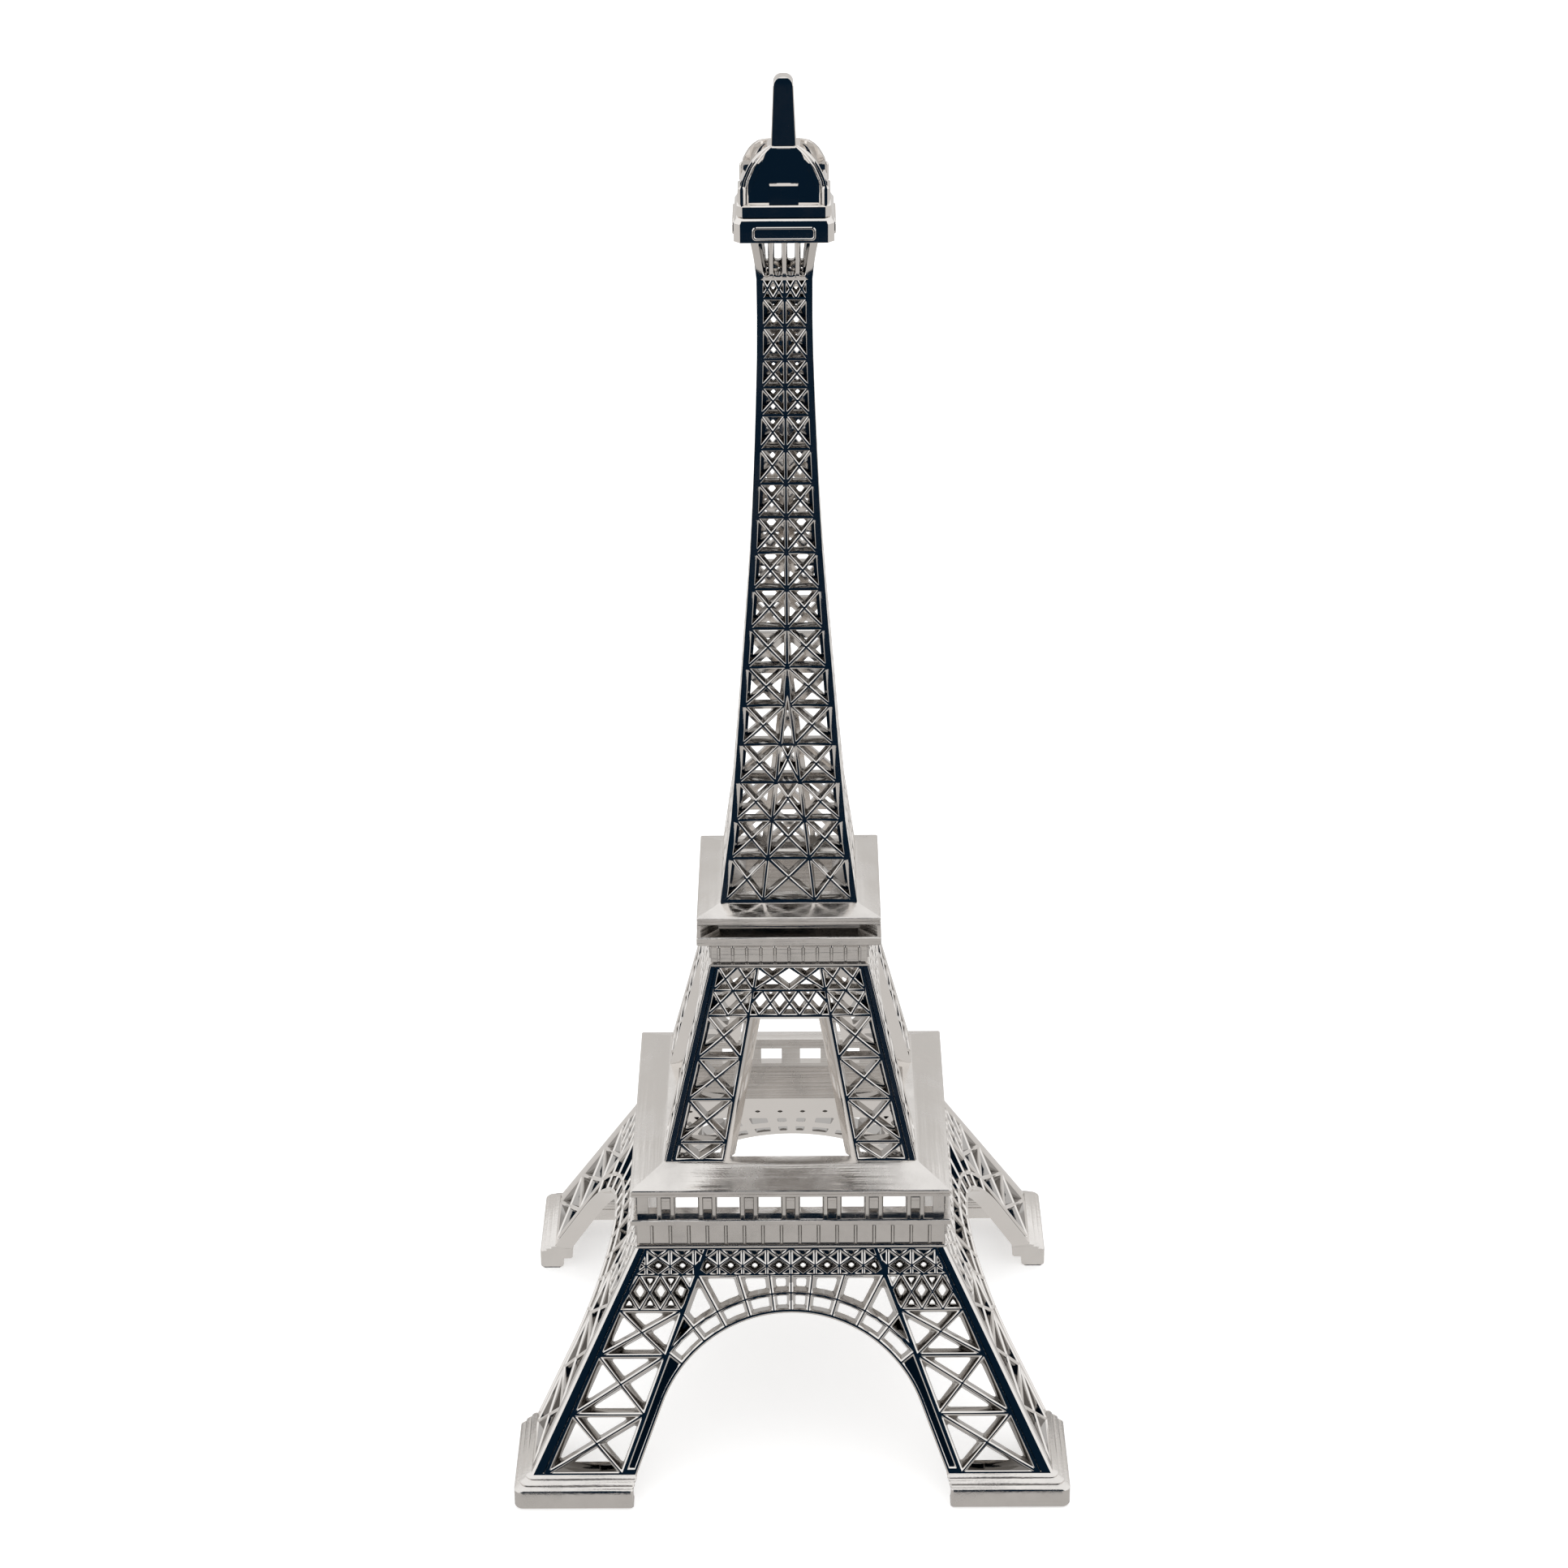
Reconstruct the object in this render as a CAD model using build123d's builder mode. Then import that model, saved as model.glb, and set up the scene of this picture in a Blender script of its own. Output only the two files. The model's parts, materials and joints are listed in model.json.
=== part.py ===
from build123d import *
from math import atan2, cos, degrees, radians, sin, sqrt, tan
import os

# Miniature four-sided lattice tower, cast in zinc and plated.
# It stands on Z = 0 with its axis on Z; the front faces -Y. Millimetres.
# Every stage is four flat cast panels, mitred at the corners and pegged
# into the plinths and platforms above and below them.

os.makedirs("parts", exist_ok=True)

# ---- driving dimensions: half widths of the square plan, and heights -----
base_half = 49.9            # outer face of the plinths at the floor
plinth_z = 5.35             # top of the plinths, foot of the base panels
base_foot_half = 46.9
base_top_half = 27.85
base_top_z = 41.1           # base panels end, first fascia starts
first_cornice_z = 46.4
first_gallery_z = 47.6
first_rim_z = 52.25
first_roof_z = 53.6
middle_foot_half = 22.6
middle_foot_z = 56.15       # middle panels start on the first roof
middle_top_z = 91.3         # middle panels end, second gallery starts
middle_slope = 13.5         # degrees from upright
second_soffit_z = 95.05     # ribbed band ends, flare under the second cornice
second_cornice_z = 96.65
second_rim_z = 100.7
second_roof_z = 102.2
spire_foot_half = 12.06
spire_foot_z = 103.07       # spire panels start on the second roof
spire_lattice_z = 215.5     # lattice ends, open flare starts
cabin_z = 222.8             # underside of the cabin
dome_z = 229.0
dome_crown_z = 237.4
mast_tip_z = 248.6

base_wall = 3.0
middle_wall = 2.6
spire_wall = 1.7
peg_clearance = 0.1         # all round a peg in its socket
peg_depth_spare = 0.3       # empty depth under a peg
smallest_window = 0.25      # shortest side worth casting open
cut_reach = 2 * base_half   # longer than any panel is wide

side_turns = {"front": 0, "right": 90, "back": 180, "left": 270}
corner_turns = {"front_left": 0, "front_right": 90, "back_right": 180, "back_left": 270}


# ---- helpers ----------------------------------------------------------------
def save(piece, node):
    piece.label = node
    export_step(piece, f"parts/{node}.step")


def save_round(piece, stem, turns):
    for place, turn in turns.items():
        save(piece.rotate(Axis.Z, turn), f"{stem}_{place}")


def leaning_face(foot_half, foot_z, slope):
    # outer face of a front panel: X across, Y up the slope, Z outwards
    return Plane(
        origin=(0, -foot_half, foot_z),
        x_dir=(1, 0, 0),
        z_dir=(0, -cos(radians(slope)), sin(radians(slope))),
    )


def inset(outline, gap):
    # shrinks a convex anticlockwise outline by gap on every side
    count = len(outline)
    lines = []
    for (x1, y1), (x2, y2) in zip(outline, outline[1:] + outline[:1]):
        length = sqrt((x2 - x1) ** 2 + (y2 - y1) ** 2)
        ux, uy = (x2 - x1) / length, (y2 - y1) / length
        lines.append((x1 - uy * gap, y1 + ux * gap, ux, uy))
    corners = []
    for index in range(count):
        px, py, ux, uy = lines[index - 1]
        qx, qy, vx, vy = lines[index]
        reach = ((qx - px) * vy - (qy - py) * vx) / (ux * vy - uy * vx)
        corners.append((px + ux * reach, py + uy * reach))
    for index in range(count):
        (x1, y1), (x2, y2) = corners[index], corners[(index + 1) % count]
        if (x2 - x1) * lines[index][2] + (y2 - y1) * lines[index][3] < smallest_window:
            return None
    return corners


def crossed_row(low, high, left, right, count, gap):
    # windows left by a row of crossed braces between two levels; left and
    # right give the edge lines of the row as functions of height
    low_points = [(left(low) + (right(low) - left(low)) * i / count, low) for i in range(count + 1)]
    high_points = [(left(high) + (right(high) - left(high)) * i / count, high) for i in range(count + 1)]
    crossings = []
    for i in range(count):
        (ax, ay), (bx, by) = low_points[i], high_points[i + 1]
        (cx, cy), (dx, dy) = low_points[i + 1], high_points[i]
        t = ((cx - ax) * (dy - cy) - (cy - ay) * (dx - cx)) / ((bx - ax) * (dy - cy) - (by - ay) * (dx - cx))
        crossings.append((ax + (bx - ax) * t, ay + (by - ay) * t))
    cells = []
    for i in range(count):
        cells.append([low_points[i], low_points[i + 1], crossings[i]])
        cells.append([high_points[i + 1], high_points[i], crossings[i]])
    for i in range(1, count):
        cells.append([low_points[i], crossings[i], high_points[i], crossings[i - 1]])
    cells.append([low_points[0], crossings[0], high_points[0]])
    cells.append([high_points[-1], crossings[-1], low_points[-1]])
    windows = [inset(cell, gap) for cell in cells]
    return [window for window in windows if window]


def mirrored(windows):
    return [[(-x, y) for x, y in reversed(window)] for window in windows]


def cut_windows(windows):
    for window in windows:
        Polygon(*window, align=None, mode=Mode.SUBTRACT)


def strut(start, end, width):
    (x1, y1), (x2, y2) = start, end
    length = sqrt((x2 - x1) ** 2 + (y2 - y1) ** 2)
    with Locations(((x1 + x2) / 2, (y1 + y2) / 2)):
        Rectangle(length, width, rotation=degrees(atan2(y2 - y1, x2 - x1)))


def front_quarter(foot_z, top_z):
    # keeps the part of the panel between the two mitres and the two levels
    with BuildSketch(Plane.XY.offset(foot_z)) as quarter:
        Polygon((0, 0), (-cut_reach, -cut_reach), (cut_reach, -cut_reach), align=None)
    extrude(quarter.sketch, amount=top_z - foot_z, mode=Mode.INTERSECT)


def pegs(x, half, z, size, height, mode=Mode.ADD):
    # a pair of upright pegs on, or sockets for, a front panel
    with Locations((-x, -half, z), (x, -half, z)):
        Box(size[0], size[1], height, align=(Align.CENTER, Align.CENTER, Align.MIN), mode=mode)


def peg_sockets(x, half, z, size, height):
    # sockets on all four sides, opening at z; a negative height goes down
    depth = abs(height) + peg_depth_spare
    foot = z if height > 0 else z - depth
    for turn in side_turns.values():
        with Locations(Location((0, 0, 0), (0, 0, turn))):
            with Locations((-x, -half, foot), (x, -half, foot)):
                Box(
                    size[0] + 2 * peg_clearance,
                    size[1] + 2 * peg_clearance,
                    depth,
                    align=(Align.CENTER, Align.CENTER, Align.MIN),
                    mode=Mode.SUBTRACT,
                )


def square_block(half, low, high, mode=Mode.ADD):
    with BuildSketch(Plane.XY.offset(low)) as square:
        Rectangle(2 * half, 2 * half)
    extrude(square.sketch, amount=high - low, mode=mode)


def square_frustum(low_half, low, high_half, high, mode=Mode.ADD):
    with BuildSketch(Plane.XY.offset(low)) as foot:
        Rectangle(2 * low_half, 2 * low_half)
    with BuildSketch(Plane.XY.offset(high)) as head:
        Rectangle(2 * high_half, 2 * high_half)
    loft([foot.sketch, head.sketch], mode=mode)


def chamfered_block(bay_half, reach, low, high):
    # a square block with chamfered corners: reach to each face, bay_half to the chamfer
    with BuildSketch(Plane.XY.offset(low)) as plan:
        Rectangle(2 * reach, 2 * reach)
        chamfer(plan.vertices(), reach - bay_half)
    extrude(plan.sketch, amount=high - low)


# ---- plinths: one L-shaped foot under each corner ---------------------------
plinth_length = 21.3
plinth_corner = 1.5         # radius of the outer corner
plinth_steps = [
    # outer half, inner half, low, high
    (base_half, 45.4, 0, 2.0),
    (base_half - 0.2, 43.4, 2.0, 4.0),
    (base_half - 1.1, 43.4, 4.0, 4.7),
    (base_half - 2.1, 43.4, 4.7, plinth_z),
]
base_peg = (6, 1.6)
base_peg_height = 2.2
base_peg_x = 37.5
base_peg_half = 45.2

with BuildPart() as plinth:
    for outer, inner, low, high in plinth_steps:
        end = -base_half + plinth_length
        with BuildSketch(Plane.XY.offset(low)) as step:
            Polygon(
                (-outer, -outer), (end, -outer), (end, -inner),
                (-inner, -inner), (-inner, end), (-outer, end), align=None,
            )
            fillet(step.vertices().sort_by(SortBy.DISTANCE)[-1], plinth_corner)
        extrude(amount=high - low)
    peg_sockets(base_peg_x, base_peg_half, plinth_z, base_peg, -base_peg_height)
save_round(plinth.part, "plinth", corner_turns)

# ---- base panels: two braced legs, a belt and an arch -----------------------
base_slope = degrees(atan2(base_foot_half - base_top_half, base_top_z - plinth_z))
base_length = (base_top_z - plinth_z) / cos(radians(base_slope))
base_levels = [0, 10.7, 21.2, 29.4]     # cross rails up the slope
belt_low = 35.7                         # underside of the upper belt row
base_band = 2.4                         # plain strip along each corner
base_post_foot, base_post_top = 30.3, 15.2
base_brace = 0.75                       # half width of a brace
base_post_edge = 0.6                    # post width beyond its centre line
belt_rail = 0.5                         # half height of the rail under the belt
lower_belt_hole, upper_belt_hole = 0.9, 0.6
arch_centre = 4.14                      # height of the arch centre up the slope
arch_rib_radius, arch_rib_width = 25.2, 1.1
upper_rib_radius, upper_rib_width = 28.3, 1.0
arch_strut_angles = [0, 7, 17, 28, 38.5, 52]
arch_strut_width, arch_strut_reach = 1.2, 45
belt_pitch = 4.35
base_tenon = (5, 1.4)
base_tenon_height = 1.4
base_tenon_x = 18
base_tenon_half = base_top_half - 1.7


def base_edge(height):
    return -(base_foot_half - height * sin(radians(base_slope)) - base_band)


def base_post(height):
    return -(base_post_foot + (base_post_top - base_post_foot) * height / base_length)


arch_lean = atan2(base_post_foot - base_post_top, base_length)
arch_spring = (-arch_rib_radius * cos(arch_lean), arch_centre + arch_rib_radius * sin(arch_lean))
arch_foot_y = -base_wall
arch_foot_x = arch_spring[0] - (arch_spring[1] - arch_foot_y) * tan(arch_lean)
base_face = leaning_face(base_foot_half, plinth_z, base_slope)
leg_windows = []
for low, high in zip(base_levels, base_levels[1:]):
    leg_windows += crossed_row(low, high, base_edge, base_post, 1, base_brace)
lower_belt_z = (base_levels[-1] + belt_low) / 2
lower_belt_pitch = (base_post(lower_belt_z) - base_edge(lower_belt_z)) / 3
lower_belt_holes = [
    (base_edge(lower_belt_z) + lower_belt_pitch * (i + 0.5), lower_belt_z) for i in range(3)
]
upper_belt_holes = [(belt_pitch * (i - 5.5), (belt_low + base_length) / 2) for i in range(12)]

with BuildSketch(base_face) as arch_work:
    with Locations((0, arch_centre)):
        Circle(upper_rib_radius + upper_rib_width / 2)
        Circle(upper_rib_radius - upper_rib_width / 2, mode=Mode.SUBTRACT)
        Circle(arch_rib_radius + arch_rib_width / 2)
    for angle in arch_strut_angles:
        for side in (-1, 1):
            tilt = radians(side * angle)
            outer_end = (arch_strut_reach * sin(tilt), arch_centre + arch_strut_reach * cos(tilt))
            strut((0, arch_centre), outer_end, arch_strut_width)
    with Locations((0, arch_centre)):
        Circle(arch_rib_radius - arch_rib_width / 2, mode=Mode.SUBTRACT)
    # below the springing the ribs run straight down beside the posts
    Polygon(
        (-base_half, -base_wall), (base_half, -base_wall),
        (base_half, arch_spring[1]), (-base_half, arch_spring[1]),
        align=None, mode=Mode.SUBTRACT,
    )
    for side in (-1, 1):
        foot = (side * arch_foot_x, arch_foot_y)
        spring = (side * arch_spring[0], arch_spring[1])
        strut(foot, spring, arch_rib_width)
    Polygon(
        (base_post(-base_wall), -base_wall), (-base_post(-base_wall), -base_wall),
        (-base_post(belt_low), belt_low), (base_post(belt_low), belt_low),
        align=None, mode=Mode.INTERSECT,
    )

with BuildPart() as base_panel:
    with BuildSketch(base_face):
        overrun = base_wall
        low_half = base_foot_half + overrun * sin(radians(base_slope))
        high_half = base_top_half - overrun * sin(radians(base_slope))
        Polygon(
            (-low_half, -overrun), (low_half, -overrun),
            (high_half, base_length + overrun), (-high_half, base_length + overrun), align=None,
        )
        opening_foot = -base_post(-overrun) - base_post_edge
        opening_head = -base_post(belt_low) - base_post_edge
        Polygon(
            (-opening_foot, -overrun), (opening_foot, -overrun),
            (opening_head, belt_low - belt_rail), (-opening_head, belt_low - belt_rail),
            align=None, mode=Mode.SUBTRACT,
        )
        cut_windows(leg_windows + mirrored(leg_windows))
        with Locations(lower_belt_holes + [(-x, y) for x, y in lower_belt_holes]):
            RegularPolygon(lower_belt_hole, 4, mode=Mode.SUBTRACT)
        with Locations(upper_belt_holes):
            RegularPolygon(upper_belt_hole, 4, mode=Mode.SUBTRACT)
        add(arch_work.sketch_local)
    extrude(amount=-base_wall)
    front_quarter(plinth_z, base_top_z)
    pegs(base_peg_x, base_peg_half, plinth_z - base_peg_height, base_peg, base_peg_height)
    pegs(base_tenon_x, base_tenon_half, base_top_z, base_tenon, base_tenon_height)
save_round(base_panel.part, "base_panel", side_turns)

# ---- first fascia: ribbed square ring that caps the base panels -------------
fascia_half = 27.75
fascia_inner = 24.85
fascia_moulding_z, fascia_moulding = 41.8, 0.2
cornice_half = 28.8
fascia_rib_pitch, fascia_rib_count = 3.33, 16
fascia_rib = (0.55, 0.45)   # width, proud of the face
gallery_peg = (2.4, 1.0)
gallery_peg_height = 1.2
gallery_peg_x = 14.9
gallery_wall = 2.0
gallery_half = 27.5
gallery_peg_half = gallery_half - gallery_wall / 2

with BuildPart() as first_fascia:
    square_block(fascia_half + fascia_moulding, base_top_z, fascia_moulding_z)
    square_block(fascia_half, fascia_moulding_z, first_cornice_z)
    square_block(cornice_half, first_cornice_z, first_gallery_z)
    for turn in side_turns.values():
        with Locations(Location((0, 0, 0), (0, 0, turn))):
            with Locations((0, -fascia_half - fascia_rib[1] / 2, (base_top_z + first_cornice_z) / 2)):
                with GridLocations(fascia_rib_pitch, 1, fascia_rib_count, 1):
                    Box(fascia_rib[0], fascia_rib[1], first_cornice_z - base_top_z)
    square_block(fascia_inner, base_top_z, first_gallery_z, mode=Mode.SUBTRACT)
    peg_sockets(base_tenon_x, base_tenon_half, base_top_z, base_tenon, base_tenon_height)
    peg_sockets(gallery_peg_x, gallery_peg_half, first_gallery_z, gallery_peg, -gallery_peg_height)
save(first_fascia.part, "first_fascia")

# ---- gallery panels: paired posts with open bays between --------------------
pair_pitch, pair_count = 7.45, 7
pair_width = 3.2
post_width, post_proud = 0.8, 0.5
bay_low_z, bay_high_z = 48.1, 51.8
bay_width = pair_pitch - pair_width
end_bay_width = 1.6
end_bay_x = (pair_count / 2) * pair_pitch - bay_width / 2 + end_bay_width / 2

with BuildPart() as gallery_panel:
    with BuildSketch(Plane.XY.offset(first_gallery_z)):
        Polygon(
            (-gallery_half, -gallery_half), (gallery_half, -gallery_half),
            (gallery_half - gallery_wall, -gallery_half + gallery_wall),
            (-gallery_half + gallery_wall, -gallery_half + gallery_wall), align=None,
        )
    extrude(amount=first_rim_z - first_gallery_z)
    with Locations((0, -gallery_half + gallery_wall / 2, (bay_low_z + bay_high_z) / 2)):
        with GridLocations(pair_pitch, 1, pair_count - 1, 1):
            Box(bay_width, gallery_wall, bay_high_z - bay_low_z, mode=Mode.SUBTRACT)
        with Locations((-end_bay_x, 0), (end_bay_x, 0)):
            Box(end_bay_width, gallery_wall, bay_high_z - bay_low_z, mode=Mode.SUBTRACT)
    with Locations((0, -gallery_half - post_proud / 2, (first_gallery_z + first_rim_z) / 2)):
        with GridLocations(pair_pitch, 1, pair_count, 1):
            with GridLocations(pair_width - post_width, 1, 2, 1):
                Box(post_width, post_proud, first_rim_z - first_gallery_z)
    pegs(gallery_peg_x, gallery_peg_half, first_gallery_z - gallery_peg_height, gallery_peg, gallery_peg_height)
save_round(gallery_panel.part, "gallery_panel", side_turns)

# ---- first roof: hipped plate with an open square in the middle -------------
rim_half = 28.6
roof_opening = 20.9
roof_plate = 1.9
roof_step = 0.3             # rim set out from the foot of the slope
roof_lip, roof_lip_wall = 25.4, 1.5     # lip that drops inside the gallery panels
roof_lip_z = first_rim_z - 0.3
middle_peg = (4, 0.9)
middle_peg_height = 1.2
middle_peg_x = 17
middle_peg_half = (middle_foot_half + roof_opening) / 2

with BuildPart() as first_roof:
    square_block(rim_half, first_rim_z, first_roof_z)
    square_frustum(rim_half - roof_step, first_roof_z, middle_foot_half, middle_foot_z)
    square_block(roof_lip, roof_lip_z, first_rim_z)
    square_frustum(
        roof_lip - roof_lip_wall, roof_lip_z, roof_opening, middle_foot_z - roof_plate, mode=Mode.SUBTRACT
    )
    square_block(roof_opening, roof_lip_z, middle_foot_z, mode=Mode.SUBTRACT)
    peg_sockets(middle_peg_x, middle_peg_half, middle_foot_z, middle_peg, -middle_peg_height)
save(first_roof.part, "first_roof")

# ---- middle panels: two braced legs and a lattice crown ----------------------
middle_length = (middle_top_z - middle_foot_z) / cos(radians(middle_slope))
middle_levels = [3.5, 11.5, 19.1, 27.1]
crown_mid, crown_top = 31.7, middle_length
middle_band = 1.5
middle_post_foot, middle_post_top = 12.1, 5.6
middle_brace = 0.55
crown_brace = 0.4
middle_tenon = (4, 1.2)
middle_tenon_height = 1.1
middle_tenon_x = 7
middle_top_half = middle_foot_half - (middle_top_z - middle_foot_z) * tan(radians(middle_slope))
middle_tenon_half = middle_top_half - middle_wall / 2


def middle_edge(height):
    return -(middle_foot_half - height * sin(radians(middle_slope)) - middle_band)


def middle_post(height):
    return -(middle_post_foot + (middle_post_top - middle_post_foot) * height / crown_top)


def middle_far_post(height):
    return -middle_post(height)


middle_face = leaning_face(middle_foot_half, middle_foot_z, middle_slope)
leg_windows = []
for low, high in zip(middle_levels, middle_levels[1:]):
    leg_windows += crossed_row(low, high, middle_edge, middle_post, 1, middle_brace)
# the partial bay at the foot has one V of braces
foot_rail = middle_levels[0]
foot_mid = ((middle_edge(0) + middle_post(0)) / 2, -middle_brace)
foot_cells = [
    [foot_mid, (middle_post(foot_rail), foot_rail), (middle_edge(foot_rail), foot_rail)],
]
leg_windows += [window for window in (inset(cell, middle_brace) for cell in foot_cells) if window]
for low, high in ((middle_levels[-1], crown_mid), (crown_mid, crown_top)):
    leg_windows += crossed_row(low, high, middle_edge, middle_post, 2, crown_brace)
crown_windows = crossed_row(middle_levels[-1], crown_mid, middle_post, middle_far_post, 4, crown_brace)
crown_windows += crossed_row(crown_mid, crown_top, middle_post, middle_far_post, 2, crown_brace)

with BuildPart() as middle_panel:
    with BuildSketch(middle_face):
        overrun = middle_wall
        low_half = middle_foot_half + overrun * sin(radians(middle_slope))
        high_half = middle_top_half - overrun * sin(radians(middle_slope))
        Polygon(
            (-low_half, -overrun), (low_half, -overrun),
            (high_half, middle_length + overrun), (-high_half, middle_length + overrun), align=None,
        )
        window_top = middle_levels[-1] - middle_brace
        window_foot = -middle_post(-overrun) - middle_brace
        window_head = -middle_post(window_top) - middle_brace
        Polygon(
            (-window_foot, -overrun), (window_foot, -overrun),
            (window_head, window_top), (-window_head, window_top), align=None, mode=Mode.SUBTRACT,
        )
        cut_windows(leg_windows + mirrored(leg_windows) + crown_windows)
    extrude(amount=-middle_wall)
    front_quarter(middle_foot_z, middle_top_z)
    pegs(middle_peg_x, middle_peg_half, middle_foot_z - middle_peg_height, middle_peg, middle_peg_height)
    pegs(middle_tenon_x, middle_tenon_half, middle_top_z, middle_tenon, middle_tenon_height)
save_round(middle_panel.part, "middle_panel", side_turns)

# ---- second gallery: ribbed band and cornice with a deep slot on each side ---
second_band_half = 13.9
second_moulding_half, second_moulding_z = 14.2, 91.9
band_rib_pitch, band_rib_count = 2.5, 11
band_rib = (0.6, 0.3)       # width, proud of the face
second_half = 16.3
second_upper_half = 16.2    # corner blocks and rim, a little inside the cornice
slot_low_z = 98.4
slot_back_half = 12.6
slot_end, slot_mouth_end = 12.3, 15.5
second_opening = 10.2

with BuildPart() as second_gallery:
    square_block(second_moulding_half, middle_top_z, second_moulding_z)
    square_block(second_band_half, second_moulding_z, second_soffit_z)
    square_frustum(second_band_half, second_soffit_z, second_half, second_cornice_z)
    square_block(second_half, second_cornice_z, slot_low_z)
    square_block(second_upper_half, slot_low_z, second_rim_z)
    for turn in side_turns.values():
        with Locations(Location((0, 0, 0), (0, 0, turn))):
            with Locations((0, -second_band_half - band_rib[1] / 2, (middle_top_z + second_soffit_z) / 2)):
                with GridLocations(band_rib_pitch, 1, band_rib_count, 1):
                    Box(band_rib[0], band_rib[1], second_soffit_z - middle_top_z)
        with BuildSketch(Plane.XY.offset(slot_low_z)):
            with Locations(Location((0, 0, 0), (0, 0, turn))):
                Polygon(
                    (-slot_end, -slot_back_half), (-slot_mouth_end, -second_half),
                    (slot_mouth_end, -second_half), (slot_end, -slot_back_half), align=None,
                )
        extrude(amount=second_rim_z - slot_low_z, mode=Mode.SUBTRACT)
    square_block(second_opening, middle_top_z, second_rim_z, mode=Mode.SUBTRACT)
    peg_sockets(middle_tenon_x, middle_tenon_half, middle_top_z, middle_tenon, middle_tenon_height)
save(second_gallery.part, "second_gallery")

# ---- second roof -------------------------------------------------------------
second_step = 0.2           # rim set out from the foot of the slope
second_lip = 1.0
spire_peg = (3, 0.8)
spire_peg_height = 1.0
spire_peg_x = 8
spire_peg_half = spire_foot_half - spire_wall / 2
second_roof_opening = 7.76

with BuildPart() as second_roof:
    square_block(second_upper_half, second_rim_z, second_roof_z)
    square_frustum(second_upper_half - second_step, second_roof_z, spire_foot_half, spire_foot_z)
    square_block(second_opening - peg_clearance, second_rim_z - second_lip, second_rim_z)
    square_block(second_roof_opening, second_rim_z - second_lip, spire_foot_z, mode=Mode.SUBTRACT)
    peg_sockets(spire_peg_x, spire_peg_half, spire_foot_z, spire_peg, -spire_peg_height)
save(second_roof.part, "second_roof")

# ---- spire panels: slender curved lattice with an open flare on top ---------
spire_profile = [
    # half width, height
    (spire_foot_half, spire_foot_z),
    (10.0, 118.2),
    (7.72, 146.5),
    (6.15, 167.2),
    (5.26, 185.7),
    (4.7, 202.0),
    (4.65, spire_lattice_z),
    (5.0, 219.0),
    (5.7, cabin_z),
]
spire_bays = [8.1] + 7 * [7.08] + 5 * [6.2] + 4 * [5.1]
spire_band = 0.95
spire_brace = 0.38
inner_post_foot = 4.56
inner_post_merge_z = 143.3
middle_column_bays = 4
flare_bar_pitch, flare_slots = 2.2, 4
flare_slot = (1.3, 6.0)
spire_tenon = (2.4, 0.8)
spire_tenon_height = 0.9
spire_tenon_half = 4.6
spire_tenon_x = 2.3


def spire_half(z):
    for (low_half, low), (high_half, high) in zip(spire_profile, spire_profile[1:]):
        if z <= high:
            return low_half + (high_half - low_half) * (z - low) / (high - low)
    return spire_profile[-1][0]


def spire_edge(z):
    return -(spire_half(z) - spire_band)


def spire_post(z):
    return -max(0.0, inner_post_foot * (inner_post_merge_z - z) / (inner_post_merge_z - spire_foot_z))


def spire_far_post(z):
    return -spire_post(z)


column_windows = []
middle_windows = []
level = spire_foot_z
for index, bay in enumerate(spire_bays):
    column_windows += crossed_row(level, level + bay, spire_edge, spire_post, 1, spire_brace)
    if index < middle_column_bays:
        middle_windows += crossed_row(level, level + bay, spire_post, spire_far_post, 1, spire_brace)
    level += bay

with BuildPart() as spire_panel:
    with BuildSketch(Plane.YZ.offset(-spire_foot_half)):
        outer_line = [(-half, z) for half, z in spire_profile]
        inner_line = [(-half + spire_wall, z) for half, z in reversed(spire_profile)]
        Polygon(*outer_line, *inner_line, align=None)
    extrude(amount=2 * spire_foot_half)
    front_quarter(spire_foot_z, cabin_z)
    with BuildSketch(Plane.XZ) as spire_windows:
        for window in column_windows + mirrored(column_windows) + middle_windows:
            Polygon(*window, align=None)
        with Locations((0, (spire_lattice_z + cabin_z) / 2)):
            with GridLocations(flare_bar_pitch, 1, flare_slots, 1):
                SlotOverall(flare_slot[1], flare_slot[0], rotation=90)
    extrude(amount=base_half, mode=Mode.SUBTRACT)
    pegs(spire_peg_x, spire_peg_half, spire_foot_z - spire_peg_height, spire_peg, spire_peg_height)
    pegs(spire_tenon_x, spire_tenon_half, cabin_z, spire_tenon, spire_tenon_height)
save_round(spire_panel.part, "spire_panel", side_turns)

# ---- cabin: chamfered boxes, corner posts, four-sided dome, mast -------------
cabin_bay, cabin_reach = 7.2, 8.25
cabin_box_z = 226.1
cabin_body_z = 226.8
body_bay, body_reach = 6.8, 7.7
ledge_out = 0.2             # ledge set out from the body above it
frame_size = (10.4, 2.3)
frame_corner = 0.7
frame_wall = 0.35
frame_proud = 0.3
cabin_peg = 2.0
cabin_peg_height = 1.5

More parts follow.
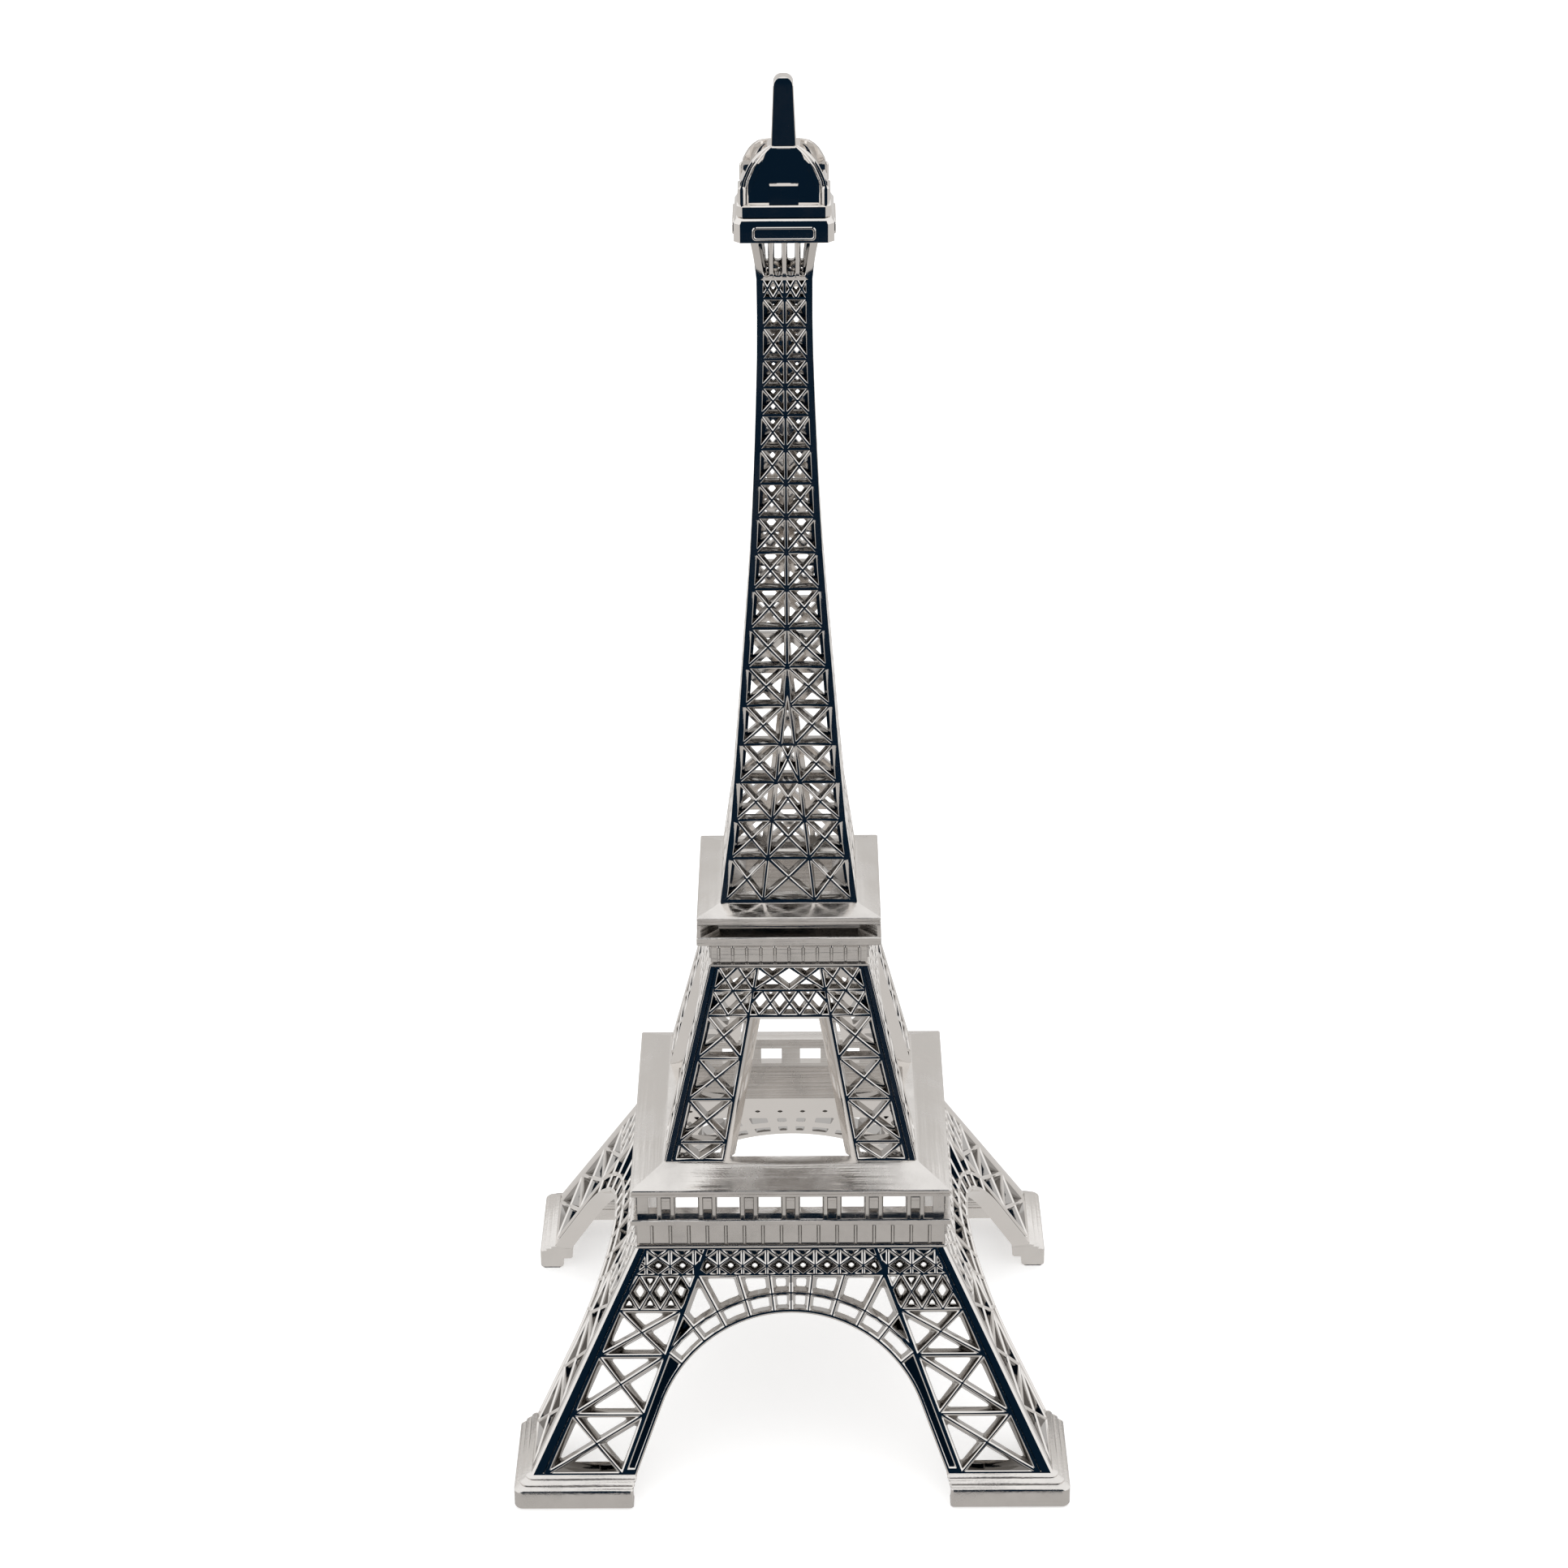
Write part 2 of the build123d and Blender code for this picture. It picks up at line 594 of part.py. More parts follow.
with BuildPart() as cabin_base:
    chamfered_block(cabin_bay, cabin_reach, cabin_z, cabin_box_z)
    chamfered_block(body_bay + ledge_out, body_reach + ledge_out, cabin_box_z, cabin_body_z)
    for turn in side_turns.values():
        centre = Plane(
            origin=Vector(0, -cabin_reach, (cabin_z + cabin_box_z) / 2).rotate(Axis.Z, turn),
            x_dir=Vector(1, 0, 0).rotate(Axis.Z, turn),
            z_dir=Vector(0, -1, 0).rotate(Axis.Z, turn),
        )
        with BuildSketch(centre):
            RectangleRounded(*frame_size, frame_corner)
            Rectangle(
                frame_size[0] - 2 * frame_wall, frame_size[1] - 2 * frame_wall, mode=Mode.SUBTRACT
            )
        extrude(amount=frame_proud)
    peg_sockets(spire_tenon_x, spire_tenon_half, cabin_z, spire_tenon, spire_tenon_height)
    with Locations((0, 0, cabin_body_z)):
        Box(
            2 * cabin_peg, 2 * cabin_peg, cabin_peg_height,
            align=(Align.CENTER, Align.CENTER, Align.MIN),
        )
save(cabin_base.part, "cabin_base")

post_half = 6.85
corner_post = 1.2
corner_post_z = 232.0

with BuildPart() as cabin_body:
    chamfered_block(body_bay, body_reach, cabin_body_z, dome_z)
    with Locations((0, 0, dome_z)):
        with GridLocations(2 * post_half, 2 * post_half, 2, 2):
            Box(
                corner_post, corner_post, corner_post_z - dome_z,
                align=(Align.CENTER, Align.CENTER, Align.MIN),
            )
    square_block(
        cabin_peg + peg_clearance, cabin_body_z, cabin_body_z + cabin_peg_height + peg_depth_spare,
        mode=Mode.SUBTRACT,
    )
save(cabin_body.part, "cabin_body")

dome_half = 7.0
dome_profile = [
    # half width, height
    (dome_half, dome_z), (dome_half, 231.8), (6.8, 232.8), (6.35, 233.8), (5.8, 234.85),
    (5.1, 235.75), (4.3, 236.5), (3.5, 236.95), (2.9, 237.2), (2.3, dome_crown_z),
]
door_size = (4.9, 1.6, 2.9)     # across, deep, tall
door_reach = 7.15
mast_foot_half, mast_tip_half = 2.1, 1.65
mast_root_radius = 1.2
mast_root_depth = 3.0
mast_foot_z = dome_crown_z - 0.6
mast_hole_z = dome_crown_z + 0.4
mast_tip_round = 0.9

with BuildPart() as cabin_dome:
    # two crossing barrels keep only what they share
    outline = dome_profile + [(-half, z) for half, z in reversed(dome_profile)]
    with BuildSketch(Plane.XZ.offset(-dome_half)):
        Polygon(*outline, align=None)
    extrude(amount=2 * dome_half)
    with BuildSketch(Plane.YZ.offset(-dome_half)):
        Polygon(*outline, align=None)
    extrude(amount=2 * dome_half, mode=Mode.INTERSECT)
    for turn in side_turns.values():
        with Locations(Location((0, 0, 0), (0, 0, turn))):
            with Locations((0, -door_reach + door_size[1] / 2, dome_z)):
                Box(*door_size, align=(Align.CENTER, Align.CENTER, Align.MIN))
    # room for the corner posts
    with Locations((0, 0, dome_z)):
        with GridLocations(2 * post_half, 2 * post_half, 2, 2):
            Box(
                corner_post + 2 * peg_clearance, corner_post + 2 * peg_clearance,
                corner_post_z - dome_z + peg_clearance,
                align=(Align.CENTER, Align.CENTER, Align.MIN), mode=Mode.SUBTRACT,
            )
    square_block(mast_foot_half, mast_foot_z, mast_hole_z, mode=Mode.SUBTRACT)
    with Locations((0, 0, mast_foot_z)):
        Cylinder(
            mast_root_radius + peg_clearance, mast_root_depth + peg_depth_spare,
            align=(Align.CENTER, Align.CENTER, Align.MAX), mode=Mode.SUBTRACT,
        )
save(cabin_dome.part, "cabin_dome")

with BuildPart() as mast:
    square_frustum(mast_foot_half, mast_foot_z, mast_tip_half, mast_tip_z)
    fillet(mast.edges().group_by(Axis.Z)[-1], mast_tip_round)
    with Locations((0, 0, mast_foot_z)):
        Cylinder(mast_root_radius, mast_root_depth, align=(Align.CENTER, Align.CENTER, Align.MAX))
save(mast.part, "mast")
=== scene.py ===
import bpy, bmesh, json, math
from mathutils import Matrix, Vector, geometry


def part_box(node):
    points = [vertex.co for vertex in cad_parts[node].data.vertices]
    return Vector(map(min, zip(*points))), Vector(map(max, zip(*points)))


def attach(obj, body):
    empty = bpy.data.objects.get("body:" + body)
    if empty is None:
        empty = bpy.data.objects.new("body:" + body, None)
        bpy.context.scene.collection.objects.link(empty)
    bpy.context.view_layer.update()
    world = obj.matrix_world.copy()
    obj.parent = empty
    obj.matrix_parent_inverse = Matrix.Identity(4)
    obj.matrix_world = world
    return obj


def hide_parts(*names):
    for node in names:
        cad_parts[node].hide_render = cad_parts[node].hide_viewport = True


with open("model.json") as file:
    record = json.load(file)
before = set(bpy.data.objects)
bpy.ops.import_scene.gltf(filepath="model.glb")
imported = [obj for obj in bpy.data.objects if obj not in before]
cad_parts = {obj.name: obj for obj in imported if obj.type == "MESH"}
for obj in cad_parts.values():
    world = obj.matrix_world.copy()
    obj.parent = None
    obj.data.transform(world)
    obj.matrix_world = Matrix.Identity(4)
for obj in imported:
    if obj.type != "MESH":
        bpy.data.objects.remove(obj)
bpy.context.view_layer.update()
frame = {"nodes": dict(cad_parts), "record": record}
print("stage: frame loaded")

mm = 0.001
sideTurns = {"front": 0, "right": 90, "back": 180, "left": 270}
cornerTurns = {"front_left": 0, "front_right": 90, "back_right": 180, "back_left": 270}


def boxMm(node):  # a CAD node's corners in millimetres
    low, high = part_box(node)
    return low / mm, high / mm


# plated metal: one look, tuned a little for each group of castings

plating = {
    "colour": (0.87, 0.84, 0.81),
    "recessColour": (0.42, 0.405, 0.39),   # painted shade, mixed in deep in the recesses and on the sloping sides of ribs
    "cloudSpan": (0.38, 0.68),             # from the brightest to the dullest patches
    "brushing": (45, 45, 2600),            # streaks lie level round each casting
    "looks": {
        "lattice": {
            "rough": (0.03, 0.10), "mottle": 0.9, "cloud": 90,
            "grain": 2600, "grainDepth": 0.000003, "streak": 0.0,
        },
        "platform": {
            "rough": (0.10, 0.34), "mottle": 0.72, "cloud": 120,
            "grain": 2200, "grainDepth": 0.000014, "streak": 5.0,
        },
        "feet": {
            "rough": (0.13, 0.32), "mottle": 0.82, "cloud": 160,
            "grain": 1300, "grainDepth": 0.00005, "streak": 0.2,
        },
        "cabin": {
            "rough": (0.03, 0.08), "mottle": 0.9, "cloud": 160,
            "grain": 2200, "grainDepth": 0.000004, "streak": 0.0,
        },
    },
}


def addNode(tree, kind, place, inputs=None, **choices):  # an input is a value or a socket to link
    node = tree.nodes.new(kind)
    node.location = place
    for name, value in choices.items():
        setattr(node, name, value)
    for name, value in (inputs or {}).items():
        if isinstance(value, bpy.types.NodeSocket):
            tree.links.new(value, node.inputs[name])
        else:
            node.inputs[name].default_value = value
    return node


def platedMetal(name, look):
    material = bpy.data.materials.new(name)
    material.use_nodes = True
    tree = material.node_tree
    shader = tree.nodes["Principled BSDF"]
    shader.inputs["Metallic"].default_value = 1.0
    spot = addNode(tree, "ShaderNodeTexCoord", (-1400, 0)).outputs["Object"]
    cloud = addNode(tree, "ShaderNodeTexNoise", (-1000, 200), {
        "Vector": spot, "Scale": look["cloud"], "Detail": 5.0, "Roughness": 0.6,
    }).outputs["Fac"]
    brushed = addNode(tree, "ShaderNodeMapping", (-1200, -100), {
        "Vector": spot, "Scale": plating["brushing"],
    })
    streak = addNode(tree, "ShaderNodeTexNoise", (-1000, -100), {
        "Vector": brushed.outputs["Vector"], "Scale": 1.0, "Detail": 3.0,
    })
    grain = addNode(tree, "ShaderNodeTexNoise", (-1000, -400), {
        "Vector": spot, "Scale": look["grain"], "Detail": 4.0, "Roughness": 0.65,
    })
    bright, dull = plating["cloudSpan"]
    smooth, rough = look["rough"]
    finish = addNode(tree, "ShaderNodeMapRange", (-700, 200), {
        "Value": cloud, "From Min": bright, "From Max": dull, "To Min": smooth, "To Max": rough,
    })
    tint = addNode(tree, "ShaderNodeMix", (-500, 420), {
        "Factor": cloud, "A": (*plating["colour"], 1),
        "B": (*[channel * look["mottle"] for channel in plating["colour"]], 1),
    }, data_type="RGBA")
    # painted shade: faces marked in the attribute take the darker shade colour instead of the plating's own
    shadeMask = addNode(tree, "ShaderNodeAttribute", (-500, 650), attribute_name="recess")
    dark = addNode(tree, "ShaderNodeMix", (-250, 500), {
        "Factor": shadeMask.outputs["Fac"], "A": tint.outputs["Result"], "B": (*plating["recessColour"], 1),
    }, data_type="RGBA")
    height = addNode(tree, "ShaderNodeMath", (-700, -250), {
        0: streak.outputs["Fac"], 1: look["streak"], 2: grain.outputs["Fac"],
    }, operation="MULTIPLY_ADD")
    bump = addNode(tree, "ShaderNodeBump", (-400, -250), {
        "Strength": 1.0, "Distance": look["grainDepth"], "Height": height.outputs["Value"],
    })
    tree.links.new(dark.outputs["Result"], shader.inputs["Base Color"])
    tree.links.new(finish.outputs["Result"], shader.inputs["Roughness"])
    tree.links.new(bump.outputs["Normal"], shader.inputs["Normal"])
    return material


materials = {name: platedMetal("plated_" + name, look) for name, look in plating["looks"].items()}
print("stage: materials made")


# flat outlines, as lists of (x, y) points running anticlockwise

def areaOf(loop):
    pairs = zip(loop, loop[1:] + loop[:1])
    return sum(a[0] * b[1] - b[0] * a[1] for a, b in pairs) / 2


def widestInset(loop):  # radius of the largest circle that fits, near enough
    pairs = zip(loop, loop[1:] + loop[:1])
    return 2 * areaOf(loop) / sum(math.dist(a, b) for a, b in pairs)


def meet(first, second):  # where two lines (x, y, dx, dy) cross
    px, py, ux, uy = first
    qx, qy, vx, vy = second
    cross = ux * vy - uy * vx
    if abs(cross) < 1e-6:
        return (qx, qy)
    reach = ((qx - px) * vy - (qy - py) * vx) / cross
    return (px + ux * reach, py + uy * reach)


def insetLoop(loop, gap):  # moves every side inwards, dropping sides that vanish
    leastRun = 1e-4
    lines = []
    for (x1, y1), (x2, y2) in zip(loop, loop[1:] + loop[:1]):
        length = math.dist((x1, y1), (x2, y2))
        if length > 1e-6:
            ux, uy = (x2 - x1) / length, (y2 - y1) / length
            lines.append((x1 - uy * gap, y1 + ux * gap, ux, uy))
    while len(lines) > 2:
        corners = [meet(lines[i - 1], lines[i]) for i in range(len(lines))]
        worst, worstRun = None, leastRun
        for i, line in enumerate(lines):
            (x1, y1), (x2, y2) = corners[i], corners[(i + 1) % len(lines)]
            run = (x2 - x1) * line[2] + (y2 - y1) * line[3]
            if run < worstRun:
                worst, worstRun = i, run
        if worst is None:
            return corners
        lines.pop(worst)
    return None


def roundLoop(loop, radius, steps):
    sideShare = 0.45    # most of a side that one rounding takes
    result = []
    count = len(loop)
    for i in range(count):
        before, here, after = Vector(loop[i - 1]), Vector(loop[i]), Vector(loop[(i + 1) % count])
        goingIn, goingOut = here - before, after - here
        if goingIn.length < 1e-6 or goingOut.length < 1e-6:
            continue
        turn = abs(goingIn.angle_signed(goingOut, 0))
        shortest = min(goingIn.length, goingOut.length)
        cut = min(radius * math.tan(min(turn, 3.0) / 2), sideShare * shortest)
        if cut < 1e-4:
            result.append(tuple(here))
            continue
        start = here - goingIn.normalized() * cut
        end = here + goingOut.normalized() * cut
        for step in range(steps + 1):
            t = step / steps
            point = start * (1 - t) ** 2 + here * 2 * t * (1 - t) + end * t ** 2
            result.append(tuple(point))
    return result


def clipLoop(loop, region):  # the part of a convex loop inside a convex region
    for (x1, y1), (x2, y2) in zip(region, region[1:] + region[:1]):
        kept = []
        for i, point in enumerate(loop):
            last = loop[i - 1]
            sideHere = (x2 - x1) * (point[1] - y1) - (y2 - y1) * (point[0] - x1)
            sideLast = (x2 - x1) * (last[1] - y1) - (y2 - y1) * (last[0] - x1)
            if (sideHere >= 0) != (sideLast >= 0):
                t = sideLast / (sideLast - sideHere)
                kept.append((last[0] + (point[0] - last[0]) * t, last[1] + (point[1] - last[1]) * t))
            if sideHere >= 0:
                kept.append(point)
        loop = kept
        if len(loop) < 3:
            return None
    return loop


def zipLoops(upper, lower):  # triangles between two loops of any counts
    nearest = min(range(len(lower)), key=lambda j: math.dist(upper[0], lower[j]))
    triangles = []
    i, j = 0, 0
    while i < len(upper) or j < len(lower):
        here, below = i % len(upper), (nearest + j) % len(lower)
        nextHere, nextBelow = (i + 1) % len(upper), (nearest + j + 1) % len(lower)
        takeUpper = j >= len(lower)
        if i < len(upper) and j < len(lower):
            takeUpper = math.dist(upper[nextHere], lower[below]) <= math.dist(upper[here], lower[nextBelow])
        if takeUpper:
            triangles.append((("upper", here), ("upper", nextHere), ("lower", below)))
            i += 1
        else:
            triangles.append((("upper", here), ("lower", nextBelow), ("lower", below)))
            j += 1
    return triangles


windowRule = {
    "leastSpan": 0.1,      # a cell this little wider than its braces stays shut
    "floorLeft": 0.4,      # metal behind a blind window
    "floorSpan": 0.7,      # least half width of its floor, in parts of the least hole
    "floorRound": 0.6,     # corner round of its floor, in parts of the back round
    "leastDepth": 0.05,    # of its floor, below the bevel
}


def windowRings(cell, cut):  # the rings of one cast window, from the face down
    widest = widestInset(cell)
    if widest < cut["gap"] + windowRule["leastSpan"]:
        return None
    wall, bevel = cut["wall"], cut["bevel"]
    slope = (cut["backGap"] - cut["gap"]) / wall
    face = insetLoop(cell, cut["gap"] - bevel)
    shoulder = insetLoop(cell, cut["gap"])
    if face is None or shoulder is None:
        return None
    through = not cut.get("blind") and widest > cut["backGap"] + cut["leastHole"]
    if through:
        back = roundLoop(insetLoop(cell, cut["backGap"]), cut["backRound"], 4)
        if cut.get("sill"):
            back = clipAbove(back, cut["sill"]) or back
        rings = [(back, wall)]
    else:
        deepest = cut.get("deepest", wall - windowRule["floorLeft"])
        inset = min(widest - cut["leastHole"] * windowRule["floorSpan"], cut["gap"] + slope * deepest)
        bottom = insetLoop(cell, inset)
        if bottom is None or len(bottom) < 3:
            return None
        bottom = roundLoop(bottom, cut["backRound"] * windowRule["floorRound"], 3)
        depth = max(min((inset - cut["gap"]) / slope, deepest), bevel + windowRule["leastDepth"])
        rings = [(bottom, depth)]
        if cut.get("hole"):
            rings.append((bottom, wall))
            through = True
    edge = [(roundLoop(face, cut["frontRound"], 2), 0.0), (roundLoop(shoulder, cut["frontRound"], 2), bevel)]
    return edge + rings, through


def clipAbove(loop, level):
    far = 1000
    return clipLoop(loop, rectangle(-far, far, level, far))


def skin(outline, holes):  # triangles that fill an outline around its holes
    points, loops = [], []
    for loop in [outline] + holes:
        loops.append(list(range(len(points), len(points) + len(loop))))
        points += loop
    result = geometry.delaunay_2d_cdt([Vector(p) for p in points], [], loops, 1, 1e-5, True)
    _, _, triangles, origPoints, _, origFaces = result
    names = [origin[0] if origin else None for origin in origPoints]
    return names, [t for t, owners in zip(triangles, origFaces) if list(owners) == [0]]


def castPlate(outlineRings, windows, place):
    # a closed plate: the outline and every window are rings from face to back
    points, faces, shadedFaces = [], [], set()

    def addLoop(loop, depth):
        start = len(points)
        points.extend(place(x, y, depth) for x, y in loop)
        return list(range(start, start + len(loop)))

    def stitch(rings, made, inwards):
        for k in range(len(rings) - 1):
            ids = {"upper": made[k], "lower": made[k + 1]}
            for triangle in zipLoops(rings[k][0], rings[k + 1][0]):
                face = [ids[side][i] for side, i in triangle]
                # window walls past the bevel are marked for painted shade
                if inwards and k >= 1:
                    shadedFaces.add(len(faces))
                faces.append(face if inwards else face[::-1])

    outer = [addLoop(loop, depth) for loop, depth in outlineRings]
    stitch(outlineRings, outer, False)
    faceHoles, backHoles = [], []
    for rings, opened in windows:
        made = [addLoop(loop, depth) for loop, depth in rings]
        stitch(rings, made, True)
        faceHoles.append((rings[0][0], made[0]))
        if opened:
            backHoles.append((rings[-1][0], made[-1]))
        else:
            # the floor of a blind window is marked for painted shade
            shadedFaces.add(len(faces))
            faces.append(made[-1])
    for outline, ids, holes, flip in (
        (outlineRings[0][0], outer[0], faceHoles, False),
        (outlineRings[-1][0], outer[-1], backHoles, True),
    ):
        allIds = list(ids)
        for _, holeIds in holes:
            allIds += holeIds
        names, triangles = skin(outline, [loop for loop, _ in holes])
        for triangle in triangles:
            if any(names[i] is None for i in triangle):
                continue
            face = [allIds[names[i]] for i in triangle]
            faces.append(face[::-1] if flip else face)
    return points, faces, shadedFaces


def stackRings(levels, hollow=False):  # a closed body, or ring, from outlines of equal count
    points, faces, rows = [], [], []
    for loop, z in levels:
        rows.append(list(range(len(points), len(points) + len(loop))))
        points += [(x, y, z) for x, y in loop]
    for lower, upper in zip(rows, rows[1:] + rows[:1] if hollow else rows[1:]):
        for i in range(len(lower)):
            j = (i + 1) % len(lower)
            faces.append([lower[i], lower[j], upper[j], upper[i]])
    if hollow:
        return points, faces
    for row, loop, flip in ((rows[0], levels[0][0], True), (rows[-1], levels[-1][0], False)):
        names, triangles = skin(loop, [])
        for triangle in triangles:
            face = [row[names[i]] for i in triangle]
            faces.append(face[::-1] if flip else face)
    return points, faces


def rectangle(left, right, low, high):
    return [(left, low), (right, low), (right, high), (left, high)]


def squareLoop(half, radius):
    return roundLoop(rectangle(-half, half, -half, half), radius, 3)


def squareRing(profile, radius):  # a moulding of (half width, height) points swept round the plan
    return stackRings([(squareLoop(half, radius), z) for half, z in profile], hollow=True)


def joinParts(parts):
    points, faces = [], []
    for morePoints, moreFaces in parts:
        start = len(points)
        points += morePoints
        faces += [[i + start for i in face] for face in moreFaces]
    return points, faces


def turnPart(part, degrees):
    spin = Matrix.Rotation(math.radians(degrees), 3, "Z")
    return [tuple(spin @ Vector(p)) for p in part[0]], part[1]


bevelRule = {"corner": 0.3, "end": 0.7}    # most of a side that a bevel takes, inset of the end faces


def bevelledBox(low, high, bevel):
    def loop(inset):
        left, right = low[0] + inset, high[0] - inset
        front, back = low[1] + inset, high[1] - inset
        cut = min(bevel, (right - left) * bevelRule["corner"], (back - front) * bevelRule["corner"])
        return [
            (left + cut, front), (right - cut, front), (right, front + cut), (right, back - cut),
            (right - cut, back), (left + cut, back), (left, back - cut), (left, front + cut),
        ]

    end = loop(bevel * bevelRule["end"])
    return stackRings([
        (end, low[2]), (loop(0), low[2] + bevel), (loop(0), high[2] - bevel), (end, high[2]),
    ])


def meshFrom(name, material, points, faces, shadedFaces=()):
    mesh = bpy.data.meshes.new(name)
    mesh.from_pydata([Vector(p) * mm for p in points], [], faces)
    mesh.materials.append(material)
    # painted shade: the listed faces are marked fully shaded
    recess = mesh.attributes.new("recess", "FLOAT", "FACE")
    for i in shadedFaces:
        recess.data[i].value = 1.0
    return mesh


def shadeZone(mesh, share, inZone):  # paints shade on the faces picked by their middle and normal
    recess = mesh.attributes["recess"].data
    for polygon in mesh.polygons:
        if inZone(polygon.center / mm, polygon.normal):
            recess[polygon.index].value = share


def sideways(normal):  # upright faces turned about 45 degrees, as on the edges of ribs
    return abs(normal.x) > 0.5 and abs(normal.y) > 0.5 and abs(normal.z) < 0.4


def finishMesh(mesh, sharpAngle=32):
    weld = 0.0004 * mm
    work = bmesh.new()
    work.from_mesh(mesh)
    bmesh.ops.remove_doubles(work, verts=work.verts, dist=weld)
    bmesh.ops.dissolve_degenerate(work, edges=work.edges, dist=weld / 2)
    bmesh.ops.recalc_face_normals(work, faces=work.faces)
    work.to_mesh(mesh)
    work.free()
    for polygon in mesh.polygons:
        polygon.use_smooth = True
    mesh.set_sharp_from_angle(angle=math.radians(sharpAngle))


def putPiece(name, mesh, nodes):
    piece = bpy.data.objects.new(name, mesh)
    bpy.context.scene.collection.objects.link(piece)
    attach(piece, "root")
    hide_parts(*nodes)
    return piece


def putAround(stem, mesh, turns):
    for place, turn in turns.items():
        copy = mesh.copy()
        copy.transform(Matrix.Rotation(math.radians(turn), 4, "Z"))
        putPiece(stem + "_" + place + "_cast", copy, [stem + "_" + place])


# node tree that sets a row of castings along one or more sides of the plan

def makeRowTree():
    tree = bpy.data.node_groups.new("castRow", "GeometryNodeTree")
    for name, kind in (
        ("Geometry", "Geometry"), ("Casting", "Object"), ("Count", "Int"),
        ("Pitch", "Float"), ("Sides", "Int"), ("Material", "Material"),
    ):
        tree.interface.new_socket(name, in_out="INPUT", socket_type="NodeSocket" + kind)
    tree.interface.new_socket("Geometry", in_out="OUTPUT", socket_type="NodeSocketGeometry")
    given = addNode(tree, "NodeGroupInput", (-1200, 0)).outputs
    casting = addNode(tree, "GeometryNodeObjectInfo", (-900, -250), {"Object": given["Casting"]})

    def sums(operation, place, first, second):
        return addNode(tree, "ShaderNodeMath", place, {0: first, 1: second}, operation=operation).outputs[0]

    def along(axis, place, value):
        return addNode(tree, "ShaderNodeCombineXYZ", place, {axis: value}).outputs["Vector"]

    gaps = sums("SUBTRACT", (-1000, 250), given["Count"], 1)
    span = sums("MULTIPLY", (-850, 250), gaps, given["Pitch"])
    firstSpot = sums("MULTIPLY", (-700, 250), span, -0.5)
    line = addNode(tree, "GeometryNodeMeshLine", (-400, 100), {
        "Count": given["Count"], "Start Location": along("X", (-550, 250), firstSpot),
        "Offset": along("X", (-700, 50), given["Pitch"]),
    })
    row = addNode(tree, "GeometryNodeInstanceOnPoints", (-200, 0), {
        "Points": line.outputs["Mesh"], "Instance": casting.outputs["Geometry"],
    })
    sides = addNode(tree, "GeometryNodeDuplicateElements", (0, 0), {
        "Geometry": row.outputs["Instances"], "Amount": given["Sides"],
    }, domain="INSTANCE")
    quarters = sums("MULTIPLY", (0, -200), sides.outputs["Duplicate Index"], math.pi / 2)
    turned = addNode(tree, "GeometryNodeRotateInstances", (300, 0), {
        "Instances": sides.outputs["Geometry"], "Rotation": along("Z", (150, -200), quarters),
        "Local Space": False,
    })
    both = addNode(tree, "GeometryNodeJoinGeometry", (500, 0), {"Geometry": given["Geometry"]})
    tree.links.new(turned.outputs["Instances"], both.inputs["Geometry"])
    real = addNode(tree, "GeometryNodeRealizeInstances", (700, 0), {"Geometry": both.outputs["Geometry"]})
    painted = addNode(tree, "GeometryNodeSetMaterial", (900, 0), {
        "Geometry": real.outputs["Geometry"], "Material": given["Material"],
    })
    addNode(tree, "NodeGroupOutput", (1100, 0), {"Geometry": painted.outputs["Geometry"]})
    return tree


rowTree = makeRowTree()


def growRow(mesh, casting, count, pitch, sides, material):
    body = bpy.data.objects.new("growBody", mesh)
    single = bpy.data.objects.new("growSingle", casting)
    for thing in (body, single):
        bpy.context.scene.collection.objects.link(thing)
    grown = body.modifiers.new("row", "NODES")
    grown.node_group = rowTree
    values = {"Casting": single, "Count": count, "Pitch": pitch * mm, "Sides": sides, "Material": material}
    for item in rowTree.interface.items_tree:
        if item.in_out == "INPUT" and item.name in values:
            grown[item.identifier] = values[item.name]
    graph = bpy.context.evaluated_depsgraph_get()
    result = bpy.data.meshes.new_from_object(body.evaluated_get(graph))
    body.modifiers.remove(grown)
    for thing in (body, single):
        bpy.data.objects.remove(thing)
    return result


# lattice cells

def rowCells(low, high, left, right, count, shifted=False):
    # crossed braces between two levels; shifted puts the crossings on the
    # lines between the repeats instead of in their middles
    def across(t, level):
        return (left(level) + (right(level) - left(level)) * t / count, level)

    mid = (low + high) / 2
    cells = []
    for i in range(count):
        if shifted:
            bottom, top = across(i + 0.5, low), across(i + 0.5, high)
            sideLeft, sideRight = across(i, mid), across(i + 1, mid)
            cells.append([bottom, sideRight, top, sideLeft])
            nextBottom = across(i + 1.5, low) if i < count - 1 else across(i + 1, low)
            nextTop = across(i + 1.5, high) if i < count - 1 else across(i + 1, high)
            cells.append([bottom, nextBottom, sideRight])
            cells.append([nextTop, top, sideRight])
            if i == 0:
                cells.append([across(0, low), bottom, sideLeft])
                cells.append([top, across(0, high), sideLeft])
        else:
            a, b = across(i, low), across(i + 1, low)
            c, d = across(i + 1, high), across(i, high)
            crossing = meet((*a, c[0] - a[0], c[1] - a[1]), (*b, d[0] - b[0], d[1] - b[1]))
            cells.append([a, b, crossing])
            cells.append([c, d, crossing])
            if i == 0:
                cells.append([a, crossing, d])
            else:
                cells.append([a, crossing, d, lastCrossing])
            if i == count - 1:
                cells.append([b, c, crossing])
            lastCrossing = crossing
    return cells


def mirrorCell(cell):
    return [(-x, y) for x, y in reversed(cell)]


def bothSides(cells):
    return cells + [mirrorCell(cell) for cell in cells]


def cutCells(cells, cut):
    made = [windowRings(cell, cut) for cell in cells]
    return [rings for rings in made if rings]


